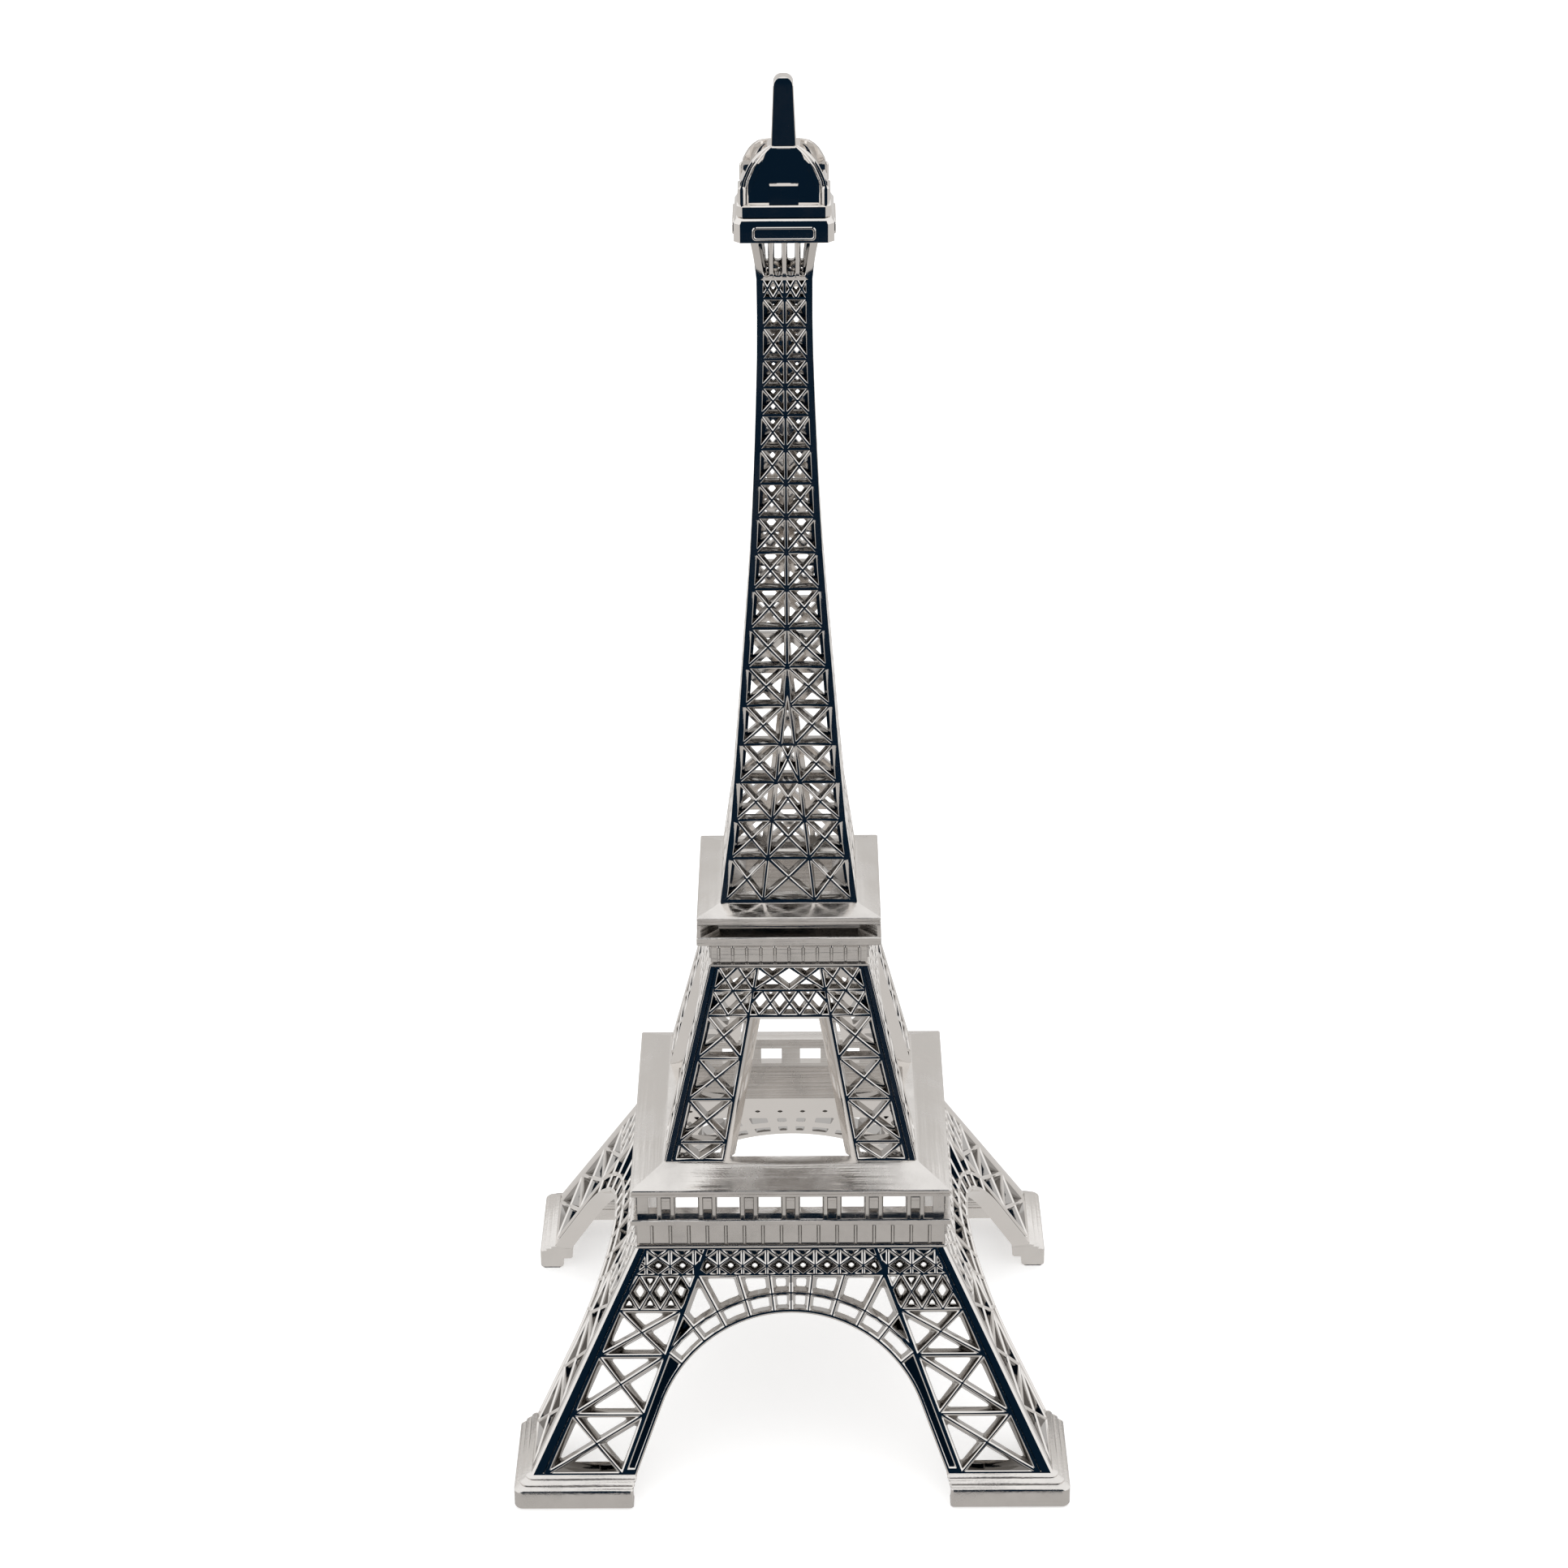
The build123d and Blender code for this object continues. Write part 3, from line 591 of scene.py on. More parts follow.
def leaningSide(settings, foot, footHalf, top, slope):
    # a flat side that leans in: s runs up it from its foot, depth runs into it
    length = (top - foot) / math.cos(slope)
    sine, cosine = math.sin(slope), math.cos(slope)

    def place(x, s, depth):
        return (x, -footHalf + s * sine + depth * cosine, foot + s * cosine - depth * sine)

    def half(s):
        return footHalf - s * sine

    def bandLine(s):
        low, high = settings["band"]
        return low + (high - low) * s / length - half(s)

    def postLine(s):
        low, high = settings["post"]
        return -(low + (high - low) * s / length)

    return length, place, half, bandLine, postLine


def bandGrooves(settings, bandLine, low, high):  # the step beside the bead of each corner strip
    near, far, draft, depth = settings["groove"]
    cell = [
        (bandLine(low) - far, low), (bandLine(low) - near, low),
        (bandLine(high) - near, high), (bandLine(high) - far, high),
    ]
    return [([(loop, 0.0), (insetLoop(loop, draft), depth)], False) for loop in bothSides([cell])]


def castSides(stem, settings, outline, windows, place):  # one lattice panel, on all four sides
    bevel, wall = settings["brace"]["bevel"], settings["wall"]
    rings = [(outline(0, bevel), 0), (outline(bevel, 0), bevel), (outline(wall, 0), wall)]
    mesh = meshFrom(stem, materials["lattice"], *castPlate(rings, windows, place))
    finishMesh(mesh)
    print("stage:", stem, "cast,", len(mesh.polygons), "faces a side")
    putAround(stem, mesh, sideTurns)


# base panels: two braced legs, a belt of fine lattice and a ribbed arch

basePanel = {
    "wall": 3.0,
    "topInset": 0.95,                      # its top stands in from the fascia
    "levels": (0.1, 10.7, 21.2, 29.4),     # cross rails, up the slope
    "beltLow": 35.7, "beltTopInset": 0.1,
    "band": (2.65, 2.0),                   # corner strip at foot and top, to its bead's middle
    "post": (30.3, 15.2),                  # inner post of a leg, out from the middle
    "archCentre": 4.14, "archRib": 25.2, "upperRib": 28.3, "ribWidth": 1.0,
    "archSteps": 44, "leastStrut": 0.3,
    "archStruts": (0, 7, 17, 28, 38.5, 51.5),   # degrees from the crown
    "beltPitch": 4.35, "beltCells": 8,
    "lowerBeltPitch": 3.75, "lowerBeltStart": 27.3,
    "brace": {
        "gap": 0.38, "backGap": 0.84, "bevel": 0.26,
        "backRound": 0.4, "frontRound": 0.1, "leastHole": 0.2,
    },
    "fine": {
        "gap": 0.28, "backGap": 1.7, "bevel": 0.17,
        "backRound": 0.4, "frontRound": 0.05, "leastHole": 0.55,
    },
    "bigCell": {"backGap": 1.0, "backRound": 0.3},
    "ribCell": {"backGap": 0.78, "backRound": 0.25},
    "spandrel": {"backGap": 0.95},
    "footSlit": {"blind": True, "deepest": 0.7, "backGap": 0.7, "backRound": 0.1},
    "slitSill": 0.8,
    "edgeLean": 1.6,                       # the outer bevel's width, in parts of its depth
    "backShift": 0.3,                      # leg windows lean towards the arch
    "backSill": 1.95,
    "postSplit": 0.2,                      # post faces, out from its middle
    "groove": (0.42, 0.66, 0.07, 0.16),    # near, far, draft, depth
    "grooveFoot": 0.3,
}


def buildBasePanel(settings):
    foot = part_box("plinth_front_left")[1].z / mm
    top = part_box("first_fascia")[0].z / mm
    footHalf = boxMm("base_panel_front")[1].x
    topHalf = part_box("first_fascia")[1].x / mm - settings["topInset"]
    wall, centre = settings["wall"], settings["archCentre"]
    slope = math.atan2(footHalf - topHalf, top - foot)
    length, place, half, bandLine, postLine = leaningSide(settings, foot, footHalf, top, slope)
    lean = math.atan2(settings["post"][0] - settings["post"][1], length)
    spring = 90 - math.degrees(lean)

    def postOuter(s):
        return postLine(s) - settings["postSplit"]

    def postInner(s):
        return postLine(s) + settings["postSplit"]

    def archPoint(radius, degreesFromTop):
        angle = math.radians(degreesFromTop)
        return (radius * math.sin(angle), centre + radius * math.cos(angle))

    def archRun(rib, start, end, steps=2):
        return [archPoint(settings[rib], start + (end - start) * i / steps) for i in range(steps + 1)]

    def outline(depth, inset):
        sideCut = depth * math.cos(slope) + inset * settings["edgeLean"]
        start, end = depth * math.tan(slope), length + depth * math.tan(slope)
        radius = settings["archRib"] - settings["ribWidth"] / 2 + inset
        springX, springY = archPoint(radius, -spring)
        legFoot = springX - (springY - start) * math.tan(lean)
        steps = settings["archSteps"]
        loop = [(-half(start) + sideCut, start), (legFoot, start)]
        loop += [archPoint(radius, -spring + 2 * spring * i / steps) for i in range(steps + 1)]
        return loop + [
            (-legFoot, start), (half(start) - sideCut, start),
            (half(end) - sideCut, end), (-half(end) + sideCut, end),
        ]

    brace = dict(settings["brace"], wall=wall)
    fine = dict(settings["fine"], wall=wall)
    levels, beltLow = settings["levels"], settings["beltLow"]
    beltTop = length - settings["beltTopInset"]
    legCells, bigCells, holeCells, blindCells = [], [], [], []
    for lowLevel, highLevel in zip(levels, levels[1:]):
        legCells += rowCells(lowLevel, highLevel, bandLine, postOuter, 1)
    # lower belt row, legs only: upright diamonds with a small hole each
    rowFoot = levels[-1]
    legRegion = [
        (bandLine(rowFoot), rowFoot), (postOuter(rowFoot), rowFoot),
        (postOuter(beltLow), beltLow), (bandLine(beltLow), beltLow),
    ]
    pitch = settings["lowerBeltPitch"]
    rowMid = (rowFoot + beltLow) / 2
    for i in range(-1, 5):
        x = -settings["lowerBeltStart"] + pitch * i
        diamond = [(x, rowFoot), (x + pitch / 2, rowMid), (x, beltLow), (x - pitch / 2, rowMid)]
        upper = [(x, beltLow), (x + pitch / 2, rowMid), (x + pitch, beltLow)]
        lower = [(x, rowFoot), (x + pitch, rowFoot), (x + pitch / 2, rowMid)]
        for cell, cellList in ((diamond, bigCells), (upper, holeCells), (lower, holeCells)):
            clipped = clipLoop(cell, legRegion)
            if clipped:
                cellList.append(clipped)
    # upper belt row, right across, cut by the two posts
    step = (beltTop - beltLow) / 3
    s0, s1, s2, s3 = (beltLow + step * i for i in range(4))
    pitch = settings["beltPitch"]
    regions = []
    for left, right in ((bandLine, postOuter), (postInner, lambda s: -postInner(s))):
        regions.append([(left(s0), s0), (right(s0), s0), (right(s3), s3), (left(s3), s3)])
    diamonds, smalls = [], []
    for i in range(-settings["beltCells"], settings["beltCells"]):
        x = i * pitch
        mid, end = x + pitch / 2, x + pitch
        diamonds.append([(mid, s0), (end, s1), (mid, s2), (x, s1)])
        smalls += [
            [(x, s0), (mid, s0), (x, s1)], [(mid, s0), (end, s0), (end, s1)],
            [(x, s1), (mid, s2), (x, s3)], [(end, s1), (end, s3), (mid, s2)],
            [(x, s3), (mid, s2), (end, s3)],
        ]
    middleHoles, middleBlinds = [], []
    for cells, legList, middleList in (
        (diamonds, holeCells, middleHoles), (smalls, blindCells, middleBlinds),
    ):
        for cell in cells:
            inLeg, inMiddle = clipLoop(cell, regions[0]), clipLoop(cell, regions[1])
            if inLeg:
                legList.append(inLeg)
            if inMiddle:
                middleList.append(inMiddle)
    # arch: cells between the two ribs, and from the upper rib to the belt
    ribCells, spandrelCells = [], []
    postFace = (postInner(0), 0, postInner(beltLow) - postInner(0), beltLow)

    def rayEnd(angle):
        direction = (-math.sin(math.radians(angle)), math.cos(math.radians(angle)))
        belt = meet((0, centre, *direction), (0, beltLow, 1, 0))
        return belt if belt[0] > postInner(beltLow) else meet((0, centre, *direction), postFace)

    struts, touch = settings["archStruts"], 0.01
    for first, second in zip(struts, struts[1:]):
        upperRun = archRun("upperRib", -second, -first)
        ribCells.append(archRun("archRib", -second, -first) + upperRun[::-1])
        farFirst, farSecond = rayEnd(first), rayEnd(second)
        cell = upperRun + [farFirst]
        if farSecond[1] < beltLow - touch and farFirst[1] > beltLow - touch:
            cell.append((postInner(beltLow), beltLow))
        if math.dist(farSecond, upperRun[0]) > settings["leastStrut"]:
            cell.append(farSecond)
        spandrelCells.append(cell if areaOf(cell) > 0 else cell[::-1])
    # blind panel between the post and the foot of the arch
    sill = settings["slitSill"]
    springX, springY = archPoint(settings["archRib"], -spring)
    slit = [(postInner(sill), sill), (springX - (springY - sill) * math.tan(lean), sill)]
    slit += archRun("archRib", -spring, -struts[-1], 8) + [rayEnd(struts[-1])]
    windows = []
    for cells, cut in (
        (bigCells, dict(fine, **settings["bigCell"])), (holeCells, dict(fine, blind=True, hole=True)),
        (blindCells, dict(fine, blind=True)), (ribCells, dict(brace, **settings["ribCell"])),
        (spandrelCells, dict(brace, **settings["spandrel"])), ([slit], dict(brace, **settings["footSlit"])),
    ):
        windows += cutCells(bothSides(cells), cut)
    for cells, shift in (
        (legCells, settings["backShift"]), ([mirrorCell(cell) for cell in legCells], -settings["backShift"]),
    ):
        for loops, through in cutCells(cells, dict(brace, sill=settings["backSill"])):
            backLoop = [(x + shift, y) for x, y in loops[-1][0]]
            windows.append((loops[:-1] + [(backLoop, wall)], through))
    windows += cutCells(middleHoles, dict(fine, blind=True, hole=True))
    windows += cutCells(middleBlinds, dict(fine, blind=True))
    windows += bandGrooves(settings, bandLine, settings["grooveFoot"], beltTop)
    castSides("base_panel", settings, outline, windows, place)


buildBasePanel(basePanel)


# middle panels: two braced legs with a lattice crown between them

middlePanel = {
    "wall": 2.6,
    "slope": 13.5,
    "footRail": 3.5, "sill": 0.2,
    "levels": (3.5, 11.5, 19.1, 27.1),
    "crownMid": 31.7, "crownTopInset": 0.05,
    "band": (1.75, 1.55),
    "post": (12.1, 5.6),
    "postWidth": 0.7, "revealDraft": 1.7, "headDraft": 0.6,
    "brace": {
        "gap": 0.31, "backGap": 0.62, "bevel": 0.16,
        "backRound": 0.3, "frontRound": 0.08, "leastHole": 0.1,
    },
    "fine": {
        "gap": 0.27, "backGap": 0.52, "bevel": 0.14,
        "backRound": 0.2, "frontRound": 0.06, "leastHole": 0.05,
    },
    "edgeLean": 1.3,
    "groove": (0.34, 0.56, 0.07, 0.15),
}


def buildMiddlePanel(settings):
    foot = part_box("first_roof")[1].z / mm
    footHalf = boxMm("middle_panel_front")[1].x
    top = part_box("second_gallery")[0].z / mm
    slope, wall = math.radians(settings["slope"]), settings["wall"]
    length, place, half, bandLine, postLine = leaningSide(settings, foot, footHalf, top, slope)

    def farPostLine(s):
        return -postLine(s)

    levels = settings["levels"]
    postHalf = settings["postWidth"] / 2
    windowTop = levels[-1] - postHalf

    def outline(depth, inset):
        sideCut = depth * math.cos(slope) + inset * settings["edgeLean"]
        start, end = depth * math.tan(slope), length + depth * math.tan(slope)
        draft = settings["revealDraft"] * depth / wall - inset
        innerFoot = postLine(start) + postHalf + draft
        innerHead = postLine(windowTop) + postHalf + draft
        head = windowTop - draft * settings["headDraft"]
        return [
            (-half(start) + sideCut, start), (innerFoot, start), (innerHead, head), (-innerHead, head),
            (-innerFoot, start), (half(start) - sideCut, start),
            (half(end) - sideCut, end), (-half(end) + sideCut, end),
        ]

    brace = dict(settings["brace"], wall=wall)
    fine = dict(settings["fine"], wall=wall)
    rail, sill = settings["footRail"], settings["sill"]
    footMid = ((bandLine(sill) + postLine(sill)) / 2, sill)
    legCells = [
        [footMid, (postLine(rail), rail), (bandLine(rail), rail)],
        [(bandLine(sill), sill), footMid, (bandLine(rail), rail)],
        [footMid, (postLine(sill), sill), (postLine(rail), rail)],
    ]
    for lowLevel, highLevel in zip(levels, levels[1:]):
        legCells += rowCells(lowLevel, highLevel, bandLine, postLine, 1)
    crownMid, crownTop = settings["crownMid"], length - settings["crownTopInset"]
    crownLegs = rowCells(levels[-1], crownMid, bandLine, postLine, 2)
    crownLegs += rowCells(crownMid, crownTop, bandLine, postLine, 2)
    crown = rowCells(levels[-1], crownMid, postLine, farPostLine, 4, shifted=True)
    crown += rowCells(crownMid, crownTop, postLine, farPostLine, 2)
    windows = cutCells(bothSides(legCells), brace)
    windows += cutCells(bothSides(crownLegs) + crown, fine)
    windows += bandGrooves(settings, bandLine, sill, crownTop)
    castSides("middle_panel", settings, outline, windows, place)


buildMiddlePanel(middlePanel)

# spire panels: slender curved lattice, three columns low down, two above

spirePanel = {
    "wall": 1.7,
    "profile": (                     # height, half width
        (103.07, 12.06), (110.0, 11.12), (118.2, 10.0), (132.0, 8.82), (146.5, 7.72), (156.8, 6.9),
        (167.2, 6.15), (176.5, 5.65), (185.7, 5.26), (194.0, 4.95), (202.0, 4.7), (209.0, 4.62),
        (215.5, 4.65), (219.0, 5.0), (222.8, 5.7),
    ),
    "levels": (
        103.3, 111.2, 118.2, 125.3, 132.3, 139.5, 146.55, 153.6, 160.7, 167.25,
        173.6, 179.6, 185.7, 191.7, 196.6, 201.5, 207.0, 212.1, 215.5,
    ),
    "band": 0.85,
    "postFoot": 4.56, "postMerge": 143.3, "mergeTop": 143.1,
    "middleBays": 4,
    "flareSlot": {
        "gap": 0.33, "backGap": 0.5, "bevel": 0.13,
        "backRound": 0.9, "frontRound": 0.7, "leastHole": 0.1,
    },
    "flareBars": 2.2,                # pitch of the upright bars
    "flareSill": 0.25, "flareHead": 0.05,
    "flareSide": (0.15, 0.1),        # least strip left beside the outer slot, at foot and top
    "brace": {
        "gap": 0.27, "backGap": 0.46, "bevel": 0.13,
        "backRound": 0.25, "frontRound": 0.06, "leastHole": 0.06,
    },
}


def buildSpirePanel(settings):
    profile = settings["profile"]
    foot, top = profile[0][0], profile[-1][0]

    def half(z):
        z = min(max(z, foot), top)
        for (lowZ, lowHalf), (highZ, highHalf) in zip(profile, profile[1:]):
            if z <= highZ:
                return lowHalf + (highHalf - lowHalf) * (z - lowZ) / (highZ - lowZ)
        return profile[-1][1]

    def place(x, z, depth):
        return (x, -half(z) + depth, z)

    def bandLine(z):
        return -(half(z) - settings["band"])

    def postLine(z):
        reach = (settings["postMerge"] - z) / (settings["postMerge"] - foot)
        return -max(0.0, settings["postFoot"] * reach)

    def farPostLine(z):
        return -postLine(z)

    def outline(depth, inset):
        left = [(-half(z) + depth + inset, z) for z in edgeLevels]
        return [(-x, z) for x, z in left] + left[::-1]

    levels, bays = settings["levels"], settings["middleBays"]
    edgeLevels = [foot] + sorted({z for z, _ in profile[1:-1]} | set(levels[1:])) + [top]
    sideCells, middleCells = [], []
    for index, (low, high) in enumerate(zip(levels, levels[1:])):
        across = 2 if index == len(levels) - 2 else 1
        sideCells += rowCells(low, high, bandLine, postLine, across)
        if index < bays:
            middleCells += rowCells(low, high, postLine, farPostLine, 1)
    merge = levels[bays]
    middleCells.append([(postLine(merge), merge), (farPostLine(merge), merge), (0, settings["mergeTop"])])
    slots = []
    sill, head, bars = levels[-1] + settings["flareSill"], top - settings["flareHead"], settings["flareBars"]
    footStrip, topStrip = settings["flareSide"]
    for side in (-1, 0):
        inner, outer = side * bars, (side - 1) * bars
        outerFoot = max(outer, bandLine(sill) + footStrip)
        outerHead = outer if side == 0 else bandLine(top) + topStrip
        slots.append([(outerFoot, sill), (inner, sill), (inner, head), (outerHead, head)])
    wall = settings["wall"]
    windows = cutCells(bothSides(sideCells) + middleCells, dict(settings["brace"], wall=wall))
    windows += cutCells(bothSides(slots), dict(settings["flareSlot"], wall=wall))
    castSides("spire_panel", settings, outline, windows, place)


buildSpirePanel(spirePanel)

# plinths: stepped feet

plinth = {
    "cornerRound": 1.5, "cornerSteps": 8,
    "profile": (        # outer half, inner half, height
        (49.5, 45.8, 0.0), (49.8, 45.5, 0.15), (49.9, 45.4, 0.4), (49.9, 45.4, 2.0),
        (49.9, 43.6, 2.05), (49.9, 43.5, 3.6), (49.7, 43.5, 3.85), (49.4, 43.6, 3.95),
        (49.05, 43.6, 4.0), (48.85, 43.5, 4.15), (48.85, 43.5, 4.5), (48.6, 43.6, 4.68),
        (48.1, 43.6, 4.72), (47.85, 43.5, 4.9), (47.85, 43.5, 5.15), (47.6, 43.6, 5.35),
    ),
    "endRound": 0.35,
    "endLean": 0.35,    # how far the ends follow the steps of the sides
}


def buildPlinths(settings):
    low, high = boxMm("plinth_front_left")
    radius, steps, edge = settings["cornerRound"], settings["cornerSteps"], settings["endRound"]
    levels = []
    for outer, inner, z in settings["profile"]:
        end = high.x - (low.x + outer) * settings["endLean"]
        corner = []
        for i in range(steps + 1):
            angle = math.pi + math.pi / 2 * i / steps
            corner.append((radius * (1 + math.cos(angle)) - outer, radius * (1 + math.sin(angle)) - outer))
        levels.append((corner + [
            (end - edge, -outer), (end, -outer + edge), (end, -inner - edge), (end - edge, -inner),
            (-inner, -inner), (-inner, end - edge), (-inner - edge, end),
            (-outer + edge, end), (-outer, end - edge),
        ], z))
    mesh = meshFrom("plinth", materials["feet"], *stackRings(levels))
    finishMesh(mesh, 40)
    putAround("plinth", mesh, cornerTurns)


buildPlinths(plinth)
print("stage: plinths")

# first fascia: moulded ring with upright ribs

firstFascia = {
    "inner": (24.5, 25.45),                # half width inside, bottom and top
    "face": 27.72,
    "foot": (                              # out from the face, up from the bottom
        (0.12, 0), (0.26, 0.16), (0.26, 0.5), (0.12, 0.66), (-0.35, 0.7), (-0.35, 0.9), (0, 1.05),
    ),
    "flare": ((0, -1.7), (0.35, -1.3)),    # out from the face, from the top
    "cornice": ((-0.2, -1.2), (0, -1.05), (0, -0.2), (-0.2, 0)),   # out from the rim, from the top
    "cornerRound": 0.3,
    "ribCount": 16, "ribPitch": 3.33,
    "ribWidth": 0.66, "ribProud": 0.42, "ribSunk": 0.4, "ribEdge": 0.2,
    "ribLow": 42.1, "ribHigh": 46.2,
    "shade": 1.6, "shadeReach": 0.5,
}


def stepsFrom(half, z, steps):
    return [(half + out, z + up) for out, up in steps]


def buildFirstFascia(settings):
    low, high = boxMm("first_fascia")
    face = settings["face"]
    innerLow, innerHigh = settings["inner"]
    profile = [(innerLow, low.z)] + stepsFrom(face, low.z, settings["foot"])
    profile += stepsFrom(face, high.z, settings["flare"])
    profile += stepsFrom(high.x, high.z, settings["cornice"]) + [(innerHigh, high.z)]
    ring = meshFrom("fasciaRing", materials["platform"], *squareRing(profile, settings["cornerRound"]))
    width = settings["ribWidth"] / 2
    rib = meshFrom("fasciaRib", materials["platform"], *bevelledBox(
        (-width, -face - settings["ribProud"], settings["ribLow"]),
        (width, -face + settings["ribSunk"], settings["ribHigh"]), settings["ribEdge"],
    ))
    mesh = growRow(ring, rib, settings["ribCount"], settings["ribPitch"], 4, materials["platform"])
    finishMesh(mesh)
    reach = face + settings["shadeReach"]
    # painted shade on the sloping sides of the ribs
    shadeZone(mesh, settings["shade"], lambda p, n: sideways(n) and max(abs(p.x), abs(p.y)) < reach)
    putPiece("first_fascia_cast", mesh, ["first_fascia"])


buildFirstFascia(firstFascia)
print("stage: first fascia")

# gallery panels: paired posts over open bays

gallery = {
    "wall": 2.0,
    "face": 27.5,
    "pairPitch": 7.45, "pairCount": 7, "pairWidth": 3.2,
    "postWidth": 0.85, "postProud": 0.45, "postSunk": 0.3, "postEdge": 0.14,
    "lintelProud": 0.16, "lintelDrop": (0.9, 0.1), "lintelEdge": 0.12,   # between the heads of a pair
    "bayLow": 48.15, "bayHigh": 51.75,
    "endBay": 1.6,
    "slitHigh": 1.0,
    "roofLap": 0.3,
    "bay": {
        "gap": 0.06, "backGap": 0.16, "bevel": 0.06,
        "backRound": 0.1, "frontRound": 0.1, "leastHole": 0.05,
    },
    "slit": {"blind": True, "deepest": 1.2, "backGap": 0.2, "leastHole": 0.1},
    "shade": 1.4,
}


def buildGallery(settings):
    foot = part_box("first_fascia")[1].z / mm
    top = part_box("first_roof")[0].z / mm + settings["roofLap"]
    face, wall = settings["face"], settings["wall"]
    pitch, count, pairWidth = settings["pairPitch"], settings["pairCount"], settings["pairWidth"]
    low, high = settings["bayLow"], settings["bayHigh"]

    def place(x, z, depth):
        return (x, -face + depth, z)

    def rowOf(number):  # evenly spaced middles
        return [(i - (number - 1) / 2) * pitch for i in range(number)]

    bay = pitch - pairWidth
    cells = [rectangle(x - bay / 2, x + bay / 2, low, high) for x in rowOf(count - 1)]
    start = count / 2 * pitch - bay / 2
    cells.append(rectangle(start, start + settings["endBay"], low, high))
    cells.append(rectangle(-start - settings["endBay"], -start, low, high))
    inside = pairWidth / 2 - settings["postWidth"]
    slits = [rectangle(x - inside, x + inside, low, low + settings["slitHigh"]) for x in rowOf(count)]
    cut = dict(settings["bay"], wall=wall)
    windows = cutCells(cells, cut) + cutCells(slits, dict(cut, **settings["slit"]))
    rings = [(rectangle(-face + depth, face - depth, foot, top), depth) for depth in (0, wall)]
    body = meshFrom("galleryBody", materials["platform"], *castPlate(rings, windows, place)[:2])
    width, offset = settings["postWidth"] / 2, (pairWidth - settings["postWidth"]) / 2
    sunk = -face + settings["postSunk"]
    proud, edge = -face - settings["postProud"], settings["postEdge"]
    posts = [
        bevelledBox((x - width, proud, foot), (x + width, sunk, top), edge) for x in (-offset, offset)
    ]
    dropLow, dropHigh = settings["lintelDrop"]
    posts.append(bevelledBox(
        (-offset, -face - settings["lintelProud"], high - dropLow), (offset, sunk, high - dropHigh),
        settings["lintelEdge"],
    ))
    pair = meshFrom("galleryPair", materials["platform"], *joinParts(posts))
    mesh = growRow(body, pair, count, pitch, 1, materials["platform"])
    finishMesh(mesh)
    # painted shade on the sloping sides of the posts and lintels
    shadeZone(mesh, settings["shade"], lambda p, n: sideways(n))
    putAround("gallery_panel", mesh, sideTurns)


buildGallery(gallery)
print("stage: gallery")

# first and second roof: grooved rim, brushed slope, open middle

firstRoof = {
    "opening": 20.9, "plate": 1.9, "lip": 25.4, "lipDrop": 0.3,
    "rim": (               # in from the edge, up from the lip
        (0.15, 0), (0, 0.12), (0, 0.55), (0.12, 0.62), (0.12, 0.7),
        (0, 0.78), (0, 1.2), (0.14, 1.35),
    ),
    "slopeFoot": (28.3, 1.38),
    "slopeHead": ((0.9, 0.34), (0.35, 0.04), (0, 0)),   # out from the panels, down from the top
    "cornerRound": 0.25,
}
secondRoof = {
    "opening": 7.76, "lip": 10.1, "lipDrop": 1.0,
    "rim": (
        (0.12, 0), (0, 0.12), (0, 0.6), (0.12, 0.68), (0.12, 0.76),
        (0, 0.84), (0, 1.3), (0.14, 1.45),
    ),
    "slopeFoot": (15.95, 1.5),
    "slopeHead": ((1.1, 0.3), (0.5, 0.06), (0, 0)),
    "cornerRound": 0.25,
}


def buildRoof(name, settings, panelNode):
    low, high = boxMm(name)
    rim = low.z + settings["lipDrop"]
    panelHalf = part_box(panelNode)[1].x / mm
    opening, lip = settings["opening"], settings["lip"]
    if "plate" in settings:
        under = [(opening, high.z - settings["plate"])]
    else:
        under = [(opening, low.z), (lip, low.z)]
    footHalf, footUp = settings["slopeFoot"]
    profile = under + [(lip, rim)] + [(high.x - inwards, rim + up) for inwards, up in settings["rim"]]
    profile += [(footHalf, rim + footUp)]
    profile += [(panelHalf + out, high.z - down) for out, down in settings["slopeHead"]]
    profile += [(opening, high.z)]
    mesh = meshFrom(name, materials["platform"], *squareRing(profile, settings["cornerRound"]))
    finishMesh(mesh)
    putPiece(name + "_cast", mesh, [name])
    print("stage:", name)


buildRoof("first_roof", firstRoof, "middle_panel_front")

# second gallery: ribbed band, flare and cornice with a deep slot

secondGallery = {
    "opening": 10.2,
    "face": 13.88,
    "foot": (              # out from the face, up from the bottom
        (0.15, 0), (0.3, 0.12), (0.3, 0.42), (0.15, 0.55), (-0.3, 0.6), (-0.3, 0.75), (0, 0.85),
    ),
    "band": (95.05, ((0, 0), (0.3, 0.25))),
    "flare": (1.1, -0.55),
    "cornice": (96.65, ((-0.25, -0.1), (0, 0.1))),
    "slot": (98.4, ((0, -0.35), (-0.2, -0.15))),
    "slotWall": ((0.45, 0), (0.35, 0.1)), "slotWallHead": -0.25,
    "slotBack": 12.6, "slotEnd": 12.3, "slotMouth": 15.6,
    "blockHalf": 16.2, "blockCut": 0.3, "blockDrop": ((0.08, 0.3), (0, 0.1)),
    "cornerRound": 0.25,
    "ribCount": 11, "ribPitch": 2.5, "ribWidth": 0.62, "ribProud": 0.3,
    "ribSunk": 0.4, "ribLow": 0.9, "ribHigh": 0.2, "ribEdge": 0.2,
    "shade": 1.6, "shadeReach": 0.3,
    "ledgeShade": 1.4, "ledgeReach": 0.12,
}


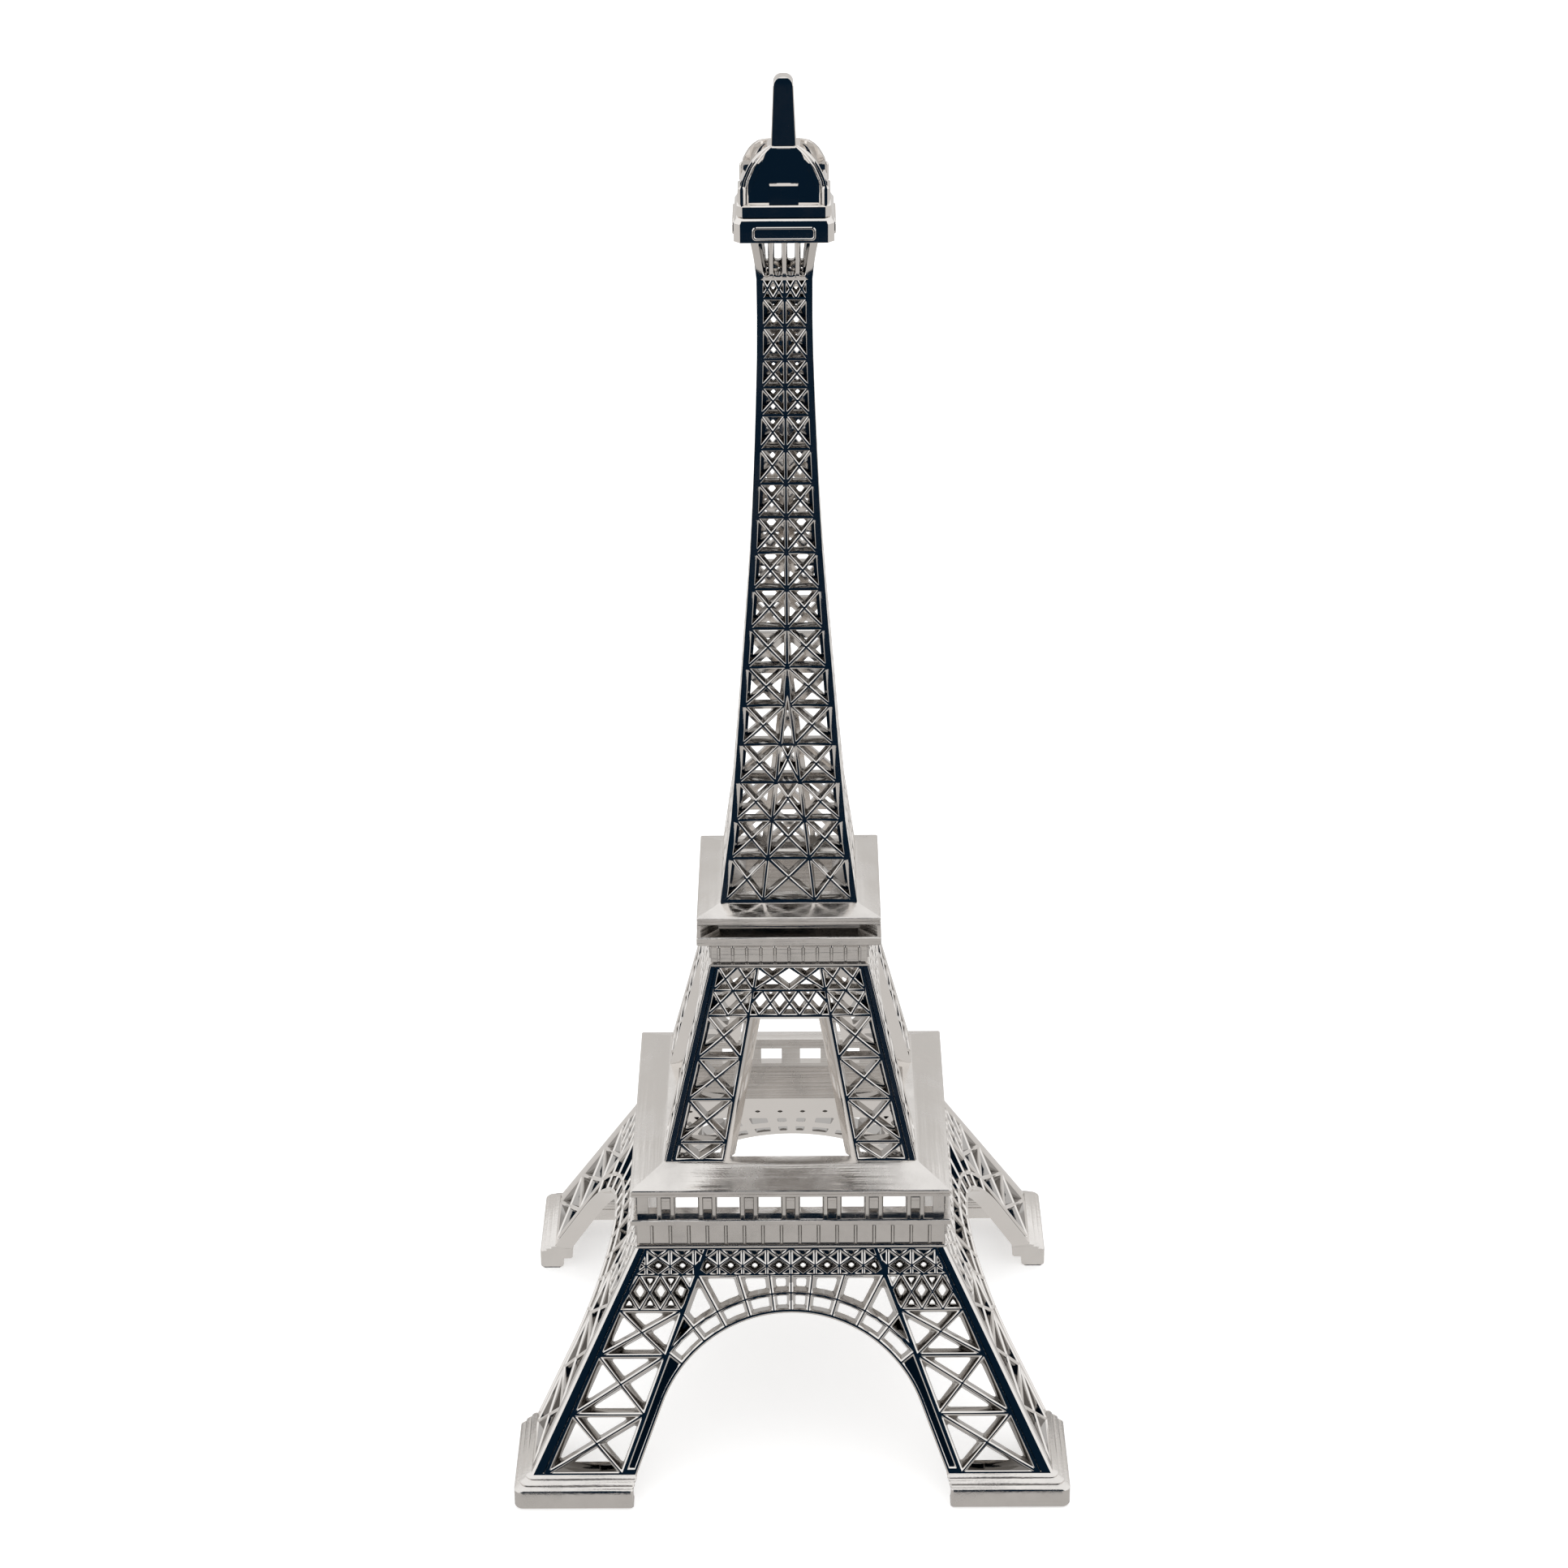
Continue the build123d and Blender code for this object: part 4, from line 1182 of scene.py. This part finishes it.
def buildSecondGallery(settings):
    low, high = boxMm("second_gallery")
    face, inner, back = settings["face"], settings["opening"], settings["slotBack"]
    (band, bandSteps), (cornice, corniceSteps) = settings["band"], settings["cornice"]
    slot, slotSteps = settings["slot"]
    flareOut, flareUp = settings["flare"]
    profile = [(inner, low.z)] + stepsFrom(face, low.z, settings["foot"]) + stepsFrom(face, band, bandSteps)
    profile += [(face + flareOut, cornice + flareUp)] + stepsFrom(high.x, cornice, corniceSteps)
    profile += stepsFrom(high.x, slot, slotSteps) + stepsFrom(back, slot, settings["slotWall"])
    profile += [(back + settings["slotWallHead"], high.z), (inner, high.z)]
    block, end, mouth = settings["blockHalf"], settings["slotEnd"], settings["slotMouth"]
    heel = back + settings["blockCut"]
    corner = [(-block, -block), (-mouth, -block), (-end, -heel), (-heel, -end), (-block, -mouth)]
    levels = [(insetLoop(corner, inset), slot - drop) for inset, drop in settings["blockDrop"]]
    blocks = [turnPart(stackRings(levels + [(corner, high.z)]), 90 * i) for i in range(4)]
    ring = meshFrom("secondRing", materials["platform"], *joinParts(
        [squareRing(profile, settings["cornerRound"])] + blocks
    ))
    width = settings["ribWidth"] / 2
    rib = meshFrom("secondRib", materials["platform"], *bevelledBox(
        (-width, -face - settings["ribProud"], low.z + settings["ribLow"]),
        (width, -face + settings["ribSunk"], band + settings["ribHigh"]), settings["ribEdge"],
    ))
    mesh = growRow(ring, rib, settings["ribCount"], settings["ribPitch"], 4, materials["platform"])
    finishMesh(mesh)
    ledge, ribHead = settings["ledgeReach"], band + settings["shadeReach"]
    # painted shade on the slot's ledge and on the sloping sides of the ribs
    shadeZone(mesh, settings["ledgeShade"], lambda p, n: abs(p.z - slot) < ledge and n.z > 0.9)
    shadeZone(mesh, settings["shade"], lambda p, n: sideways(n) and p.z < ribHead)
    putPiece("second_gallery_cast", mesh, ["second_gallery"])
    print("stage: second gallery")


buildSecondGallery(secondGallery)
buildRoof("second_roof", secondRoof, "spire_panel_front")

# cabin: chamfered boxes, framed faces, corner posts

cabin = {
    "box": (7.2, 8.25), "boxTop": 226.1,   # half width of the flat face, half width overall
    "body": (6.8, 7.7), "bodyFoot": 226.75, "bodyLift": 0.25, "bodyTop": 228.9,
    "seat": (0.05, 0.1),
    "cap": (6.6, 7.3), "capRise": 0.1,
    "edge": 0.16,
    "frame": (10.4, 2.3), "frameWall": 0.38, "frameProud": 0.28, "frameSunk": 0.2,
    "frameDraft": (0.12, 0.1),
    "frameRounds": (0.7, 0.49, 0.525),     # outside, hole, lip of the hole
    "postHalf": 6.85, "post": 1.2, "postSunk": 0.1, "postEdge": 0.34,
}


def bayLoop(size, out=0.0):
    bay, reach = size[0] + out, size[1] + out
    return [
        (-bay, -reach), (bay, -reach), (reach, -bay), (reach, bay),
        (bay, reach), (-bay, reach), (-reach, bay), (-reach, -bay),
    ]


def buildCabin(settings):
    low = boxMm("cabin_base")[0]
    box, body, edge = settings["box"], settings["body"], settings["edge"]
    boxTop, bodyFoot, bodyTop = settings["boxTop"], settings["bodyFoot"], settings["bodyTop"]
    seatOut, seatRise = settings["seat"]
    base = stackRings([
        (bayLoop(box, -edge / 2), low.z), (bayLoop(box), low.z + edge / 2),
        (bayLoop(box), boxTop - edge), (bayLoop(box, -edge / 2), boxTop),
        (bayLoop(body, seatOut), bodyFoot), (bayLoop(body, -seatRise), bodyFoot + seatRise),
    ])
    wide, tall = settings["frame"]
    middle = (low.z + boxTop) / 2
    loop = rectangle(-wide / 2, wide / 2, middle - tall / 2, middle + tall / 2)
    outerRound, holeRound, lipRound = settings["frameRounds"]
    draft, lip = settings["frameDraft"]
    wall, proud = settings["frameWall"], settings["frameProud"]
    back = proud + settings["frameSunk"]
    outer, lifted = roundLoop(loop, outerRound, 5), roundLoop(insetLoop(loop, draft), outerRound, 5)
    hole = roundLoop(insetLoop(loop, wall), holeRound, 5)
    holeLip = roundLoop(insetLoop(loop, wall - lip), lipRound, 5)
    frame = castPlate(
        [(lifted, 0), (outer, draft), (outer, back)],
        [([(holeLip, 0), (hole, draft), (hole, back)], True)],
        lambda x, z, depth: (x, -box[1] - proud + depth, z),
    )[:2]
    frames = [turnPart(frame, 90 * i) for i in range(4)]
    mesh = meshFrom("cabinBase", materials["cabin"], *joinParts([base] + frames))
    finishMesh(mesh)
    putPiece("cabin_base_cast", mesh, ["cabin_base"])
    core = meshFrom("cabinBody", materials["cabin"], *stackRings([
        (bayLoop(body), bodyFoot + settings["bodyLift"]), (bayLoop(body), bodyTop - edge),
        (bayLoop(body, -edge), bodyTop), (bayLoop(settings["cap"]), bodyTop + settings["capRise"]),
    ]))
    near, far = [-settings["postHalf"] + side * settings["post"] / 2 for side in (-1, 1)]
    post = meshFrom("cabinPost", materials["cabin"], *bevelledBox(
        (near, near, bodyTop - settings["postSunk"]), (far, far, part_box("cabin_body")[1].z / mm),
        settings["postEdge"],
    ))
    mesh = growRow(core, post, 1, 1.0, 4, materials["cabin"])
    finishMesh(mesh)
    putPiece("cabin_body_cast", mesh, ["cabin_body"])


buildCabin(cabin)
print("stage: cabin")

# dome: four sunk faces between curved hip ribs, a door block on each side

dome = {
    "profile": (           # half width, height
        (7.0, 229.0), (7.0, 231.8), (6.8, 232.8), (6.35, 233.8), (5.8, 234.85), (5.1, 235.75),
        (4.3, 236.5), (3.5, 236.95), (2.9, 237.2), (2.3, 237.4),
    ),
    "columns": (           # in from the hip, sunk, share of the bowl's depth
        (0.0, 0.0, 0.0), (0.32, 0.0, 0.0), (0.42, 0.12, 0.0), (0.5, 0.3, 0.0), (0.64, 0.3, 0.0),
        (0.72, 0.12, 0.0), (0.84, 0.02, 0.0), (0.98, 0.02, 0.0), (1.1, 0.14, 0.0),
        (1.22, 0.14, 0.88), (1.7, 0.14, 0.97), (3.5, 0.14, 1.04),
    ),
    "bowl": (6.3, 2.5),    # half width of the sunk face at foot and crown
    "leastBowl": 0.1,
    "fit": (0.3, 3.9),     # the columns close up where the dome is narrower than this
    "door": (2.4, 2.55),   # half width outside and at the dome
    "doorReach": (7.15, 4.6), "doorTop": 231.5,
    "doorRings": (         # lean, inset, height over the door's top
        (0, 0, -2.45), (0, 0, -0.25), (0, 0.1, -0.1), (0.3, 0.12, 0.5), (0.3, 0.3, 0.52),
    ),
    "spineHalf": 1.15,
    "spine": ((-5.9, -3.0, 230.5), (-2.75, -1.5, 237.1)),   # front, back, height
}


def buildDome(settings):
    profile, columns = settings["profile"], settings["columns"]
    footZ, crownZ = profile[0][1], profile[-1][1]
    bowlFoot, bowlCrown = settings["bowl"]
    least, full = settings["fit"]
    loops = []
    for half, z in profile:
        chord = bowlFoot + (bowlCrown - bowlFoot) * (z - footZ) / (crownZ - footZ)
        bowl = max(half - chord, settings["leastBowl"])
        fit = min(1.0, (half - least) / full)
        quarter = [
            (-half + inward * fit, -half + (sunk + bowl * share) * fit) for inward, sunk, share in columns
        ]
        side = quarter + [(-x, y) for x, y in reversed(quarter)]
        loop = []
        for turn in range(4):
            spin = Matrix.Rotation(math.pi / 2 * turn, 2)
            loop += [tuple(spin @ Vector(p)) for p in side[:-1]]
        loops.append((loop, z))
    (outer, inner), (reach, back) = settings["door"], settings["doorReach"]

    def doorLoop(lean):
        return [(-outer, lean - reach), (outer, lean - reach), (inner, -back), (-inner, -back)]

    door = stackRings([
        (insetLoop(doorLoop(lean), inset), settings["doorTop"] + up)
        for lean, inset, up in settings["doorRings"]
    ])
    half = settings["spineHalf"]
    spine = stackRings([(rectangle(-half, half, front, back), z) for front, back, z in settings["spine"]])
    extras = [turnPart(part, 90 * i) for i in range(4) for part in (door, spine)]
    mesh = meshFrom("cabinDome", materials["cabin"], *joinParts([stackRings(loops)] + extras))
    finishMesh(mesh, 40)
    putPiece("cabin_dome_cast", mesh, ["cabin_dome"])


buildDome(dome)
print("stage: dome")

# mast

mast = {
    "foot": (2.1, 236.8), "footRound": 0.25,
    "tip": 1.65, "tipRound": (1.45, 0.4), "tipTurn": 86, "tipSteps": 8,
    "core": (1.35, 0.15),    # half width and corner round, grown to the tip's size
}


def buildMast(settings):
    top = boxMm("mast")[1].z
    footHalf, footZ = settings["foot"]
    core, coreRound = settings["core"]
    tip, (wide, thin) = settings["tip"], settings["tipRound"]
    levels = [(squareLoop(footHalf, settings["footRound"]), footZ)]
    for i in range(settings["tipSteps"] + 1):
        angle = math.radians(settings["tipTurn"]) * i / settings["tipSteps"]
        shrink = 1 - math.cos(angle)
        growX, growY = (tip - wide * shrink) / core, (tip - thin * shrink) / core
        loop = [(x * growX, y * growY) for x, y in squareLoop(core, coreRound)]
        levels.append((loop, top - wide + wide * math.sin(angle)))
    mesh = meshFrom("mast", materials["cabin"], *stackRings(levels))
    finishMesh(mesh, 40)
    putPiece("mast_cast", mesh, ["mast"])


buildMast(mast)
print("stage: mast")

# camera

cameraSet = {"focal": 85.84, "pitch": 26.04, "turn": 0.356, "roll": -0.45, "place": (2.95, -596.0, 411.65)}


def makeCamera(settings):
    data = bpy.data.cameras.new("camera")
    data.lens = settings["focal"]
    data.sensor_width = 36
    data.clip_start = 0.01
    camera = bpy.data.objects.new("camera", data)
    bpy.context.scene.collection.objects.link(camera)
    turn = Matrix.Rotation(math.radians(settings["turn"]), 4, "Z")
    tip = Matrix.Rotation(math.radians(90 - settings["pitch"]), 4, "X")
    roll = Matrix.Rotation(math.radians(settings["roll"]), 4, "Z")
    camera.matrix_world = Matrix.Translation(Vector(settings["place"]) * mm) @ turn @ tip @ roll
    bpy.context.scene.camera = camera


makeCamera(cameraSet)

# floor, light and the screens that only the plating sees

studio = {
    "world": 1.0,
    "floorSize": 6.0, "floorGlow": 0.42, "floorTone": 0.93,
    "dark": (0.003, 0.011, 0.024),
    "grey": (0.52, 0.505, 0.49),
    "pale": (0.66, 0.645, 0.63),
    "front": {"gap": 0.62, "half": 0.62, "height": 1.5},
    "darkFloor": {"start": 0.37, "startHalf": 0.5},
    "back": {"gap": 1.2, "half": 1.0, "height": 0.72},
    "greyFloor": 1.6, "seam": -0.03,       # grey in front of the seam, pale behind it
    "floorZ": -0.0002, "greyZ": -0.0001, "darkZ": 0.0005,
}


def screenMaterial(name, colour):
    material = bpy.data.materials.new(name)
    material.use_nodes = True
    tree = material.node_tree
    tree.nodes.clear()
    glow = tree.nodes.new("ShaderNodeEmission")
    glow.inputs["Color"].default_value = (*colour, 1)
    output = tree.nodes.new("ShaderNodeOutputMaterial")
    tree.links.new(glow.outputs["Emission"], output.inputs["Surface"])
    return material


def flatCard(name, corners, material, platingOnly=True):
    mesh = bpy.data.meshes.new(name)
    mesh.from_pydata(corners, [], [tuple(range(len(corners)))])
    mesh.materials.append(material)
    card = bpy.data.objects.new(name, mesh)
    bpy.context.scene.collection.objects.link(card)
    if platingOnly:
        card.visible_camera = False
        card.visible_diffuse = False
        card.visible_shadow = False
        card.visible_transmission = False
    return card


def lying(left, right, near, far, z):
    return [(left, near, z), (right, near, z), (right, far, z), (left, far, z)]


def standing(half, y, height):
    return [(-half, y, 0), (half, y, 0), (half, y, height), (-half, y, height)]


def makeStudio(settings):
    scene = bpy.context.scene
    scene.view_settings.view_transform = "Standard"
    world = bpy.data.worlds.new("studio")
    scene.world = world
    world.use_nodes = True
    background = world.node_tree.nodes["Background"]
    background.inputs["Color"].default_value = (1, 1, 1, 1)
    background.inputs["Strength"].default_value = settings["world"]
    floorMaterial = bpy.data.materials.new("floor")
    floorMaterial.use_nodes = True
    shader = floorMaterial.node_tree.nodes["Principled BSDF"]
    tone = settings["floorTone"]
    for name, value in (
        ("Base Color", (tone, tone, tone, 1)), ("Roughness", 0.9), ("Specular IOR Level", 0.1),
        ("Emission Color", (1, 1, 1, 1)), ("Emission Strength", settings["floorGlow"]),
    ):
        shader.inputs[name].default_value = value
    size, reach, seam = settings["floorSize"], settings["greyFloor"], settings["seam"]
    flatCard("floor", lying(-size, size, -size, size, settings["floorZ"]), floorMaterial, platingOnly=False)
    dark = screenMaterial("dark_screen", settings["dark"])
    grey = screenMaterial("grey_screen", settings["grey"])
    pale = screenMaterial("pale_screen", settings["pale"])
    flatCard("front_grey", lying(-reach, reach, -reach, seam, settings["greyZ"]), grey)
    flatCard("back_grey", lying(-reach, reach, seam, reach, settings["greyZ"]), pale)
    front, back, near = settings["front"], settings["back"], settings["darkFloor"]
    half, startHalf, z = front["half"], near["startHalf"], settings["darkZ"]
    flatCard("front_screen", standing(half, -front["gap"], front["height"]), dark)
    flatCard("front_floor", [
        (-half, -front["gap"], z), (half, -front["gap"], z),
        (startHalf, -near["start"], z), (-startHalf, -near["start"], z),
    ], dark)
    flatCard("back_screen", standing(-back["half"], back["gap"], back["height"]), pale)


makeStudio(studio)
print("stage: studio ready")

slotNames = {part["node"]: part["material_slot"] for part in frame["record"]["subparts"]}
for name, node in frame["nodes"].items():
    look = slotNames.get(name, "plated_lattice").replace("plated_", "")
    node.data.materials.clear()
    node.data.materials.append(materials[look])
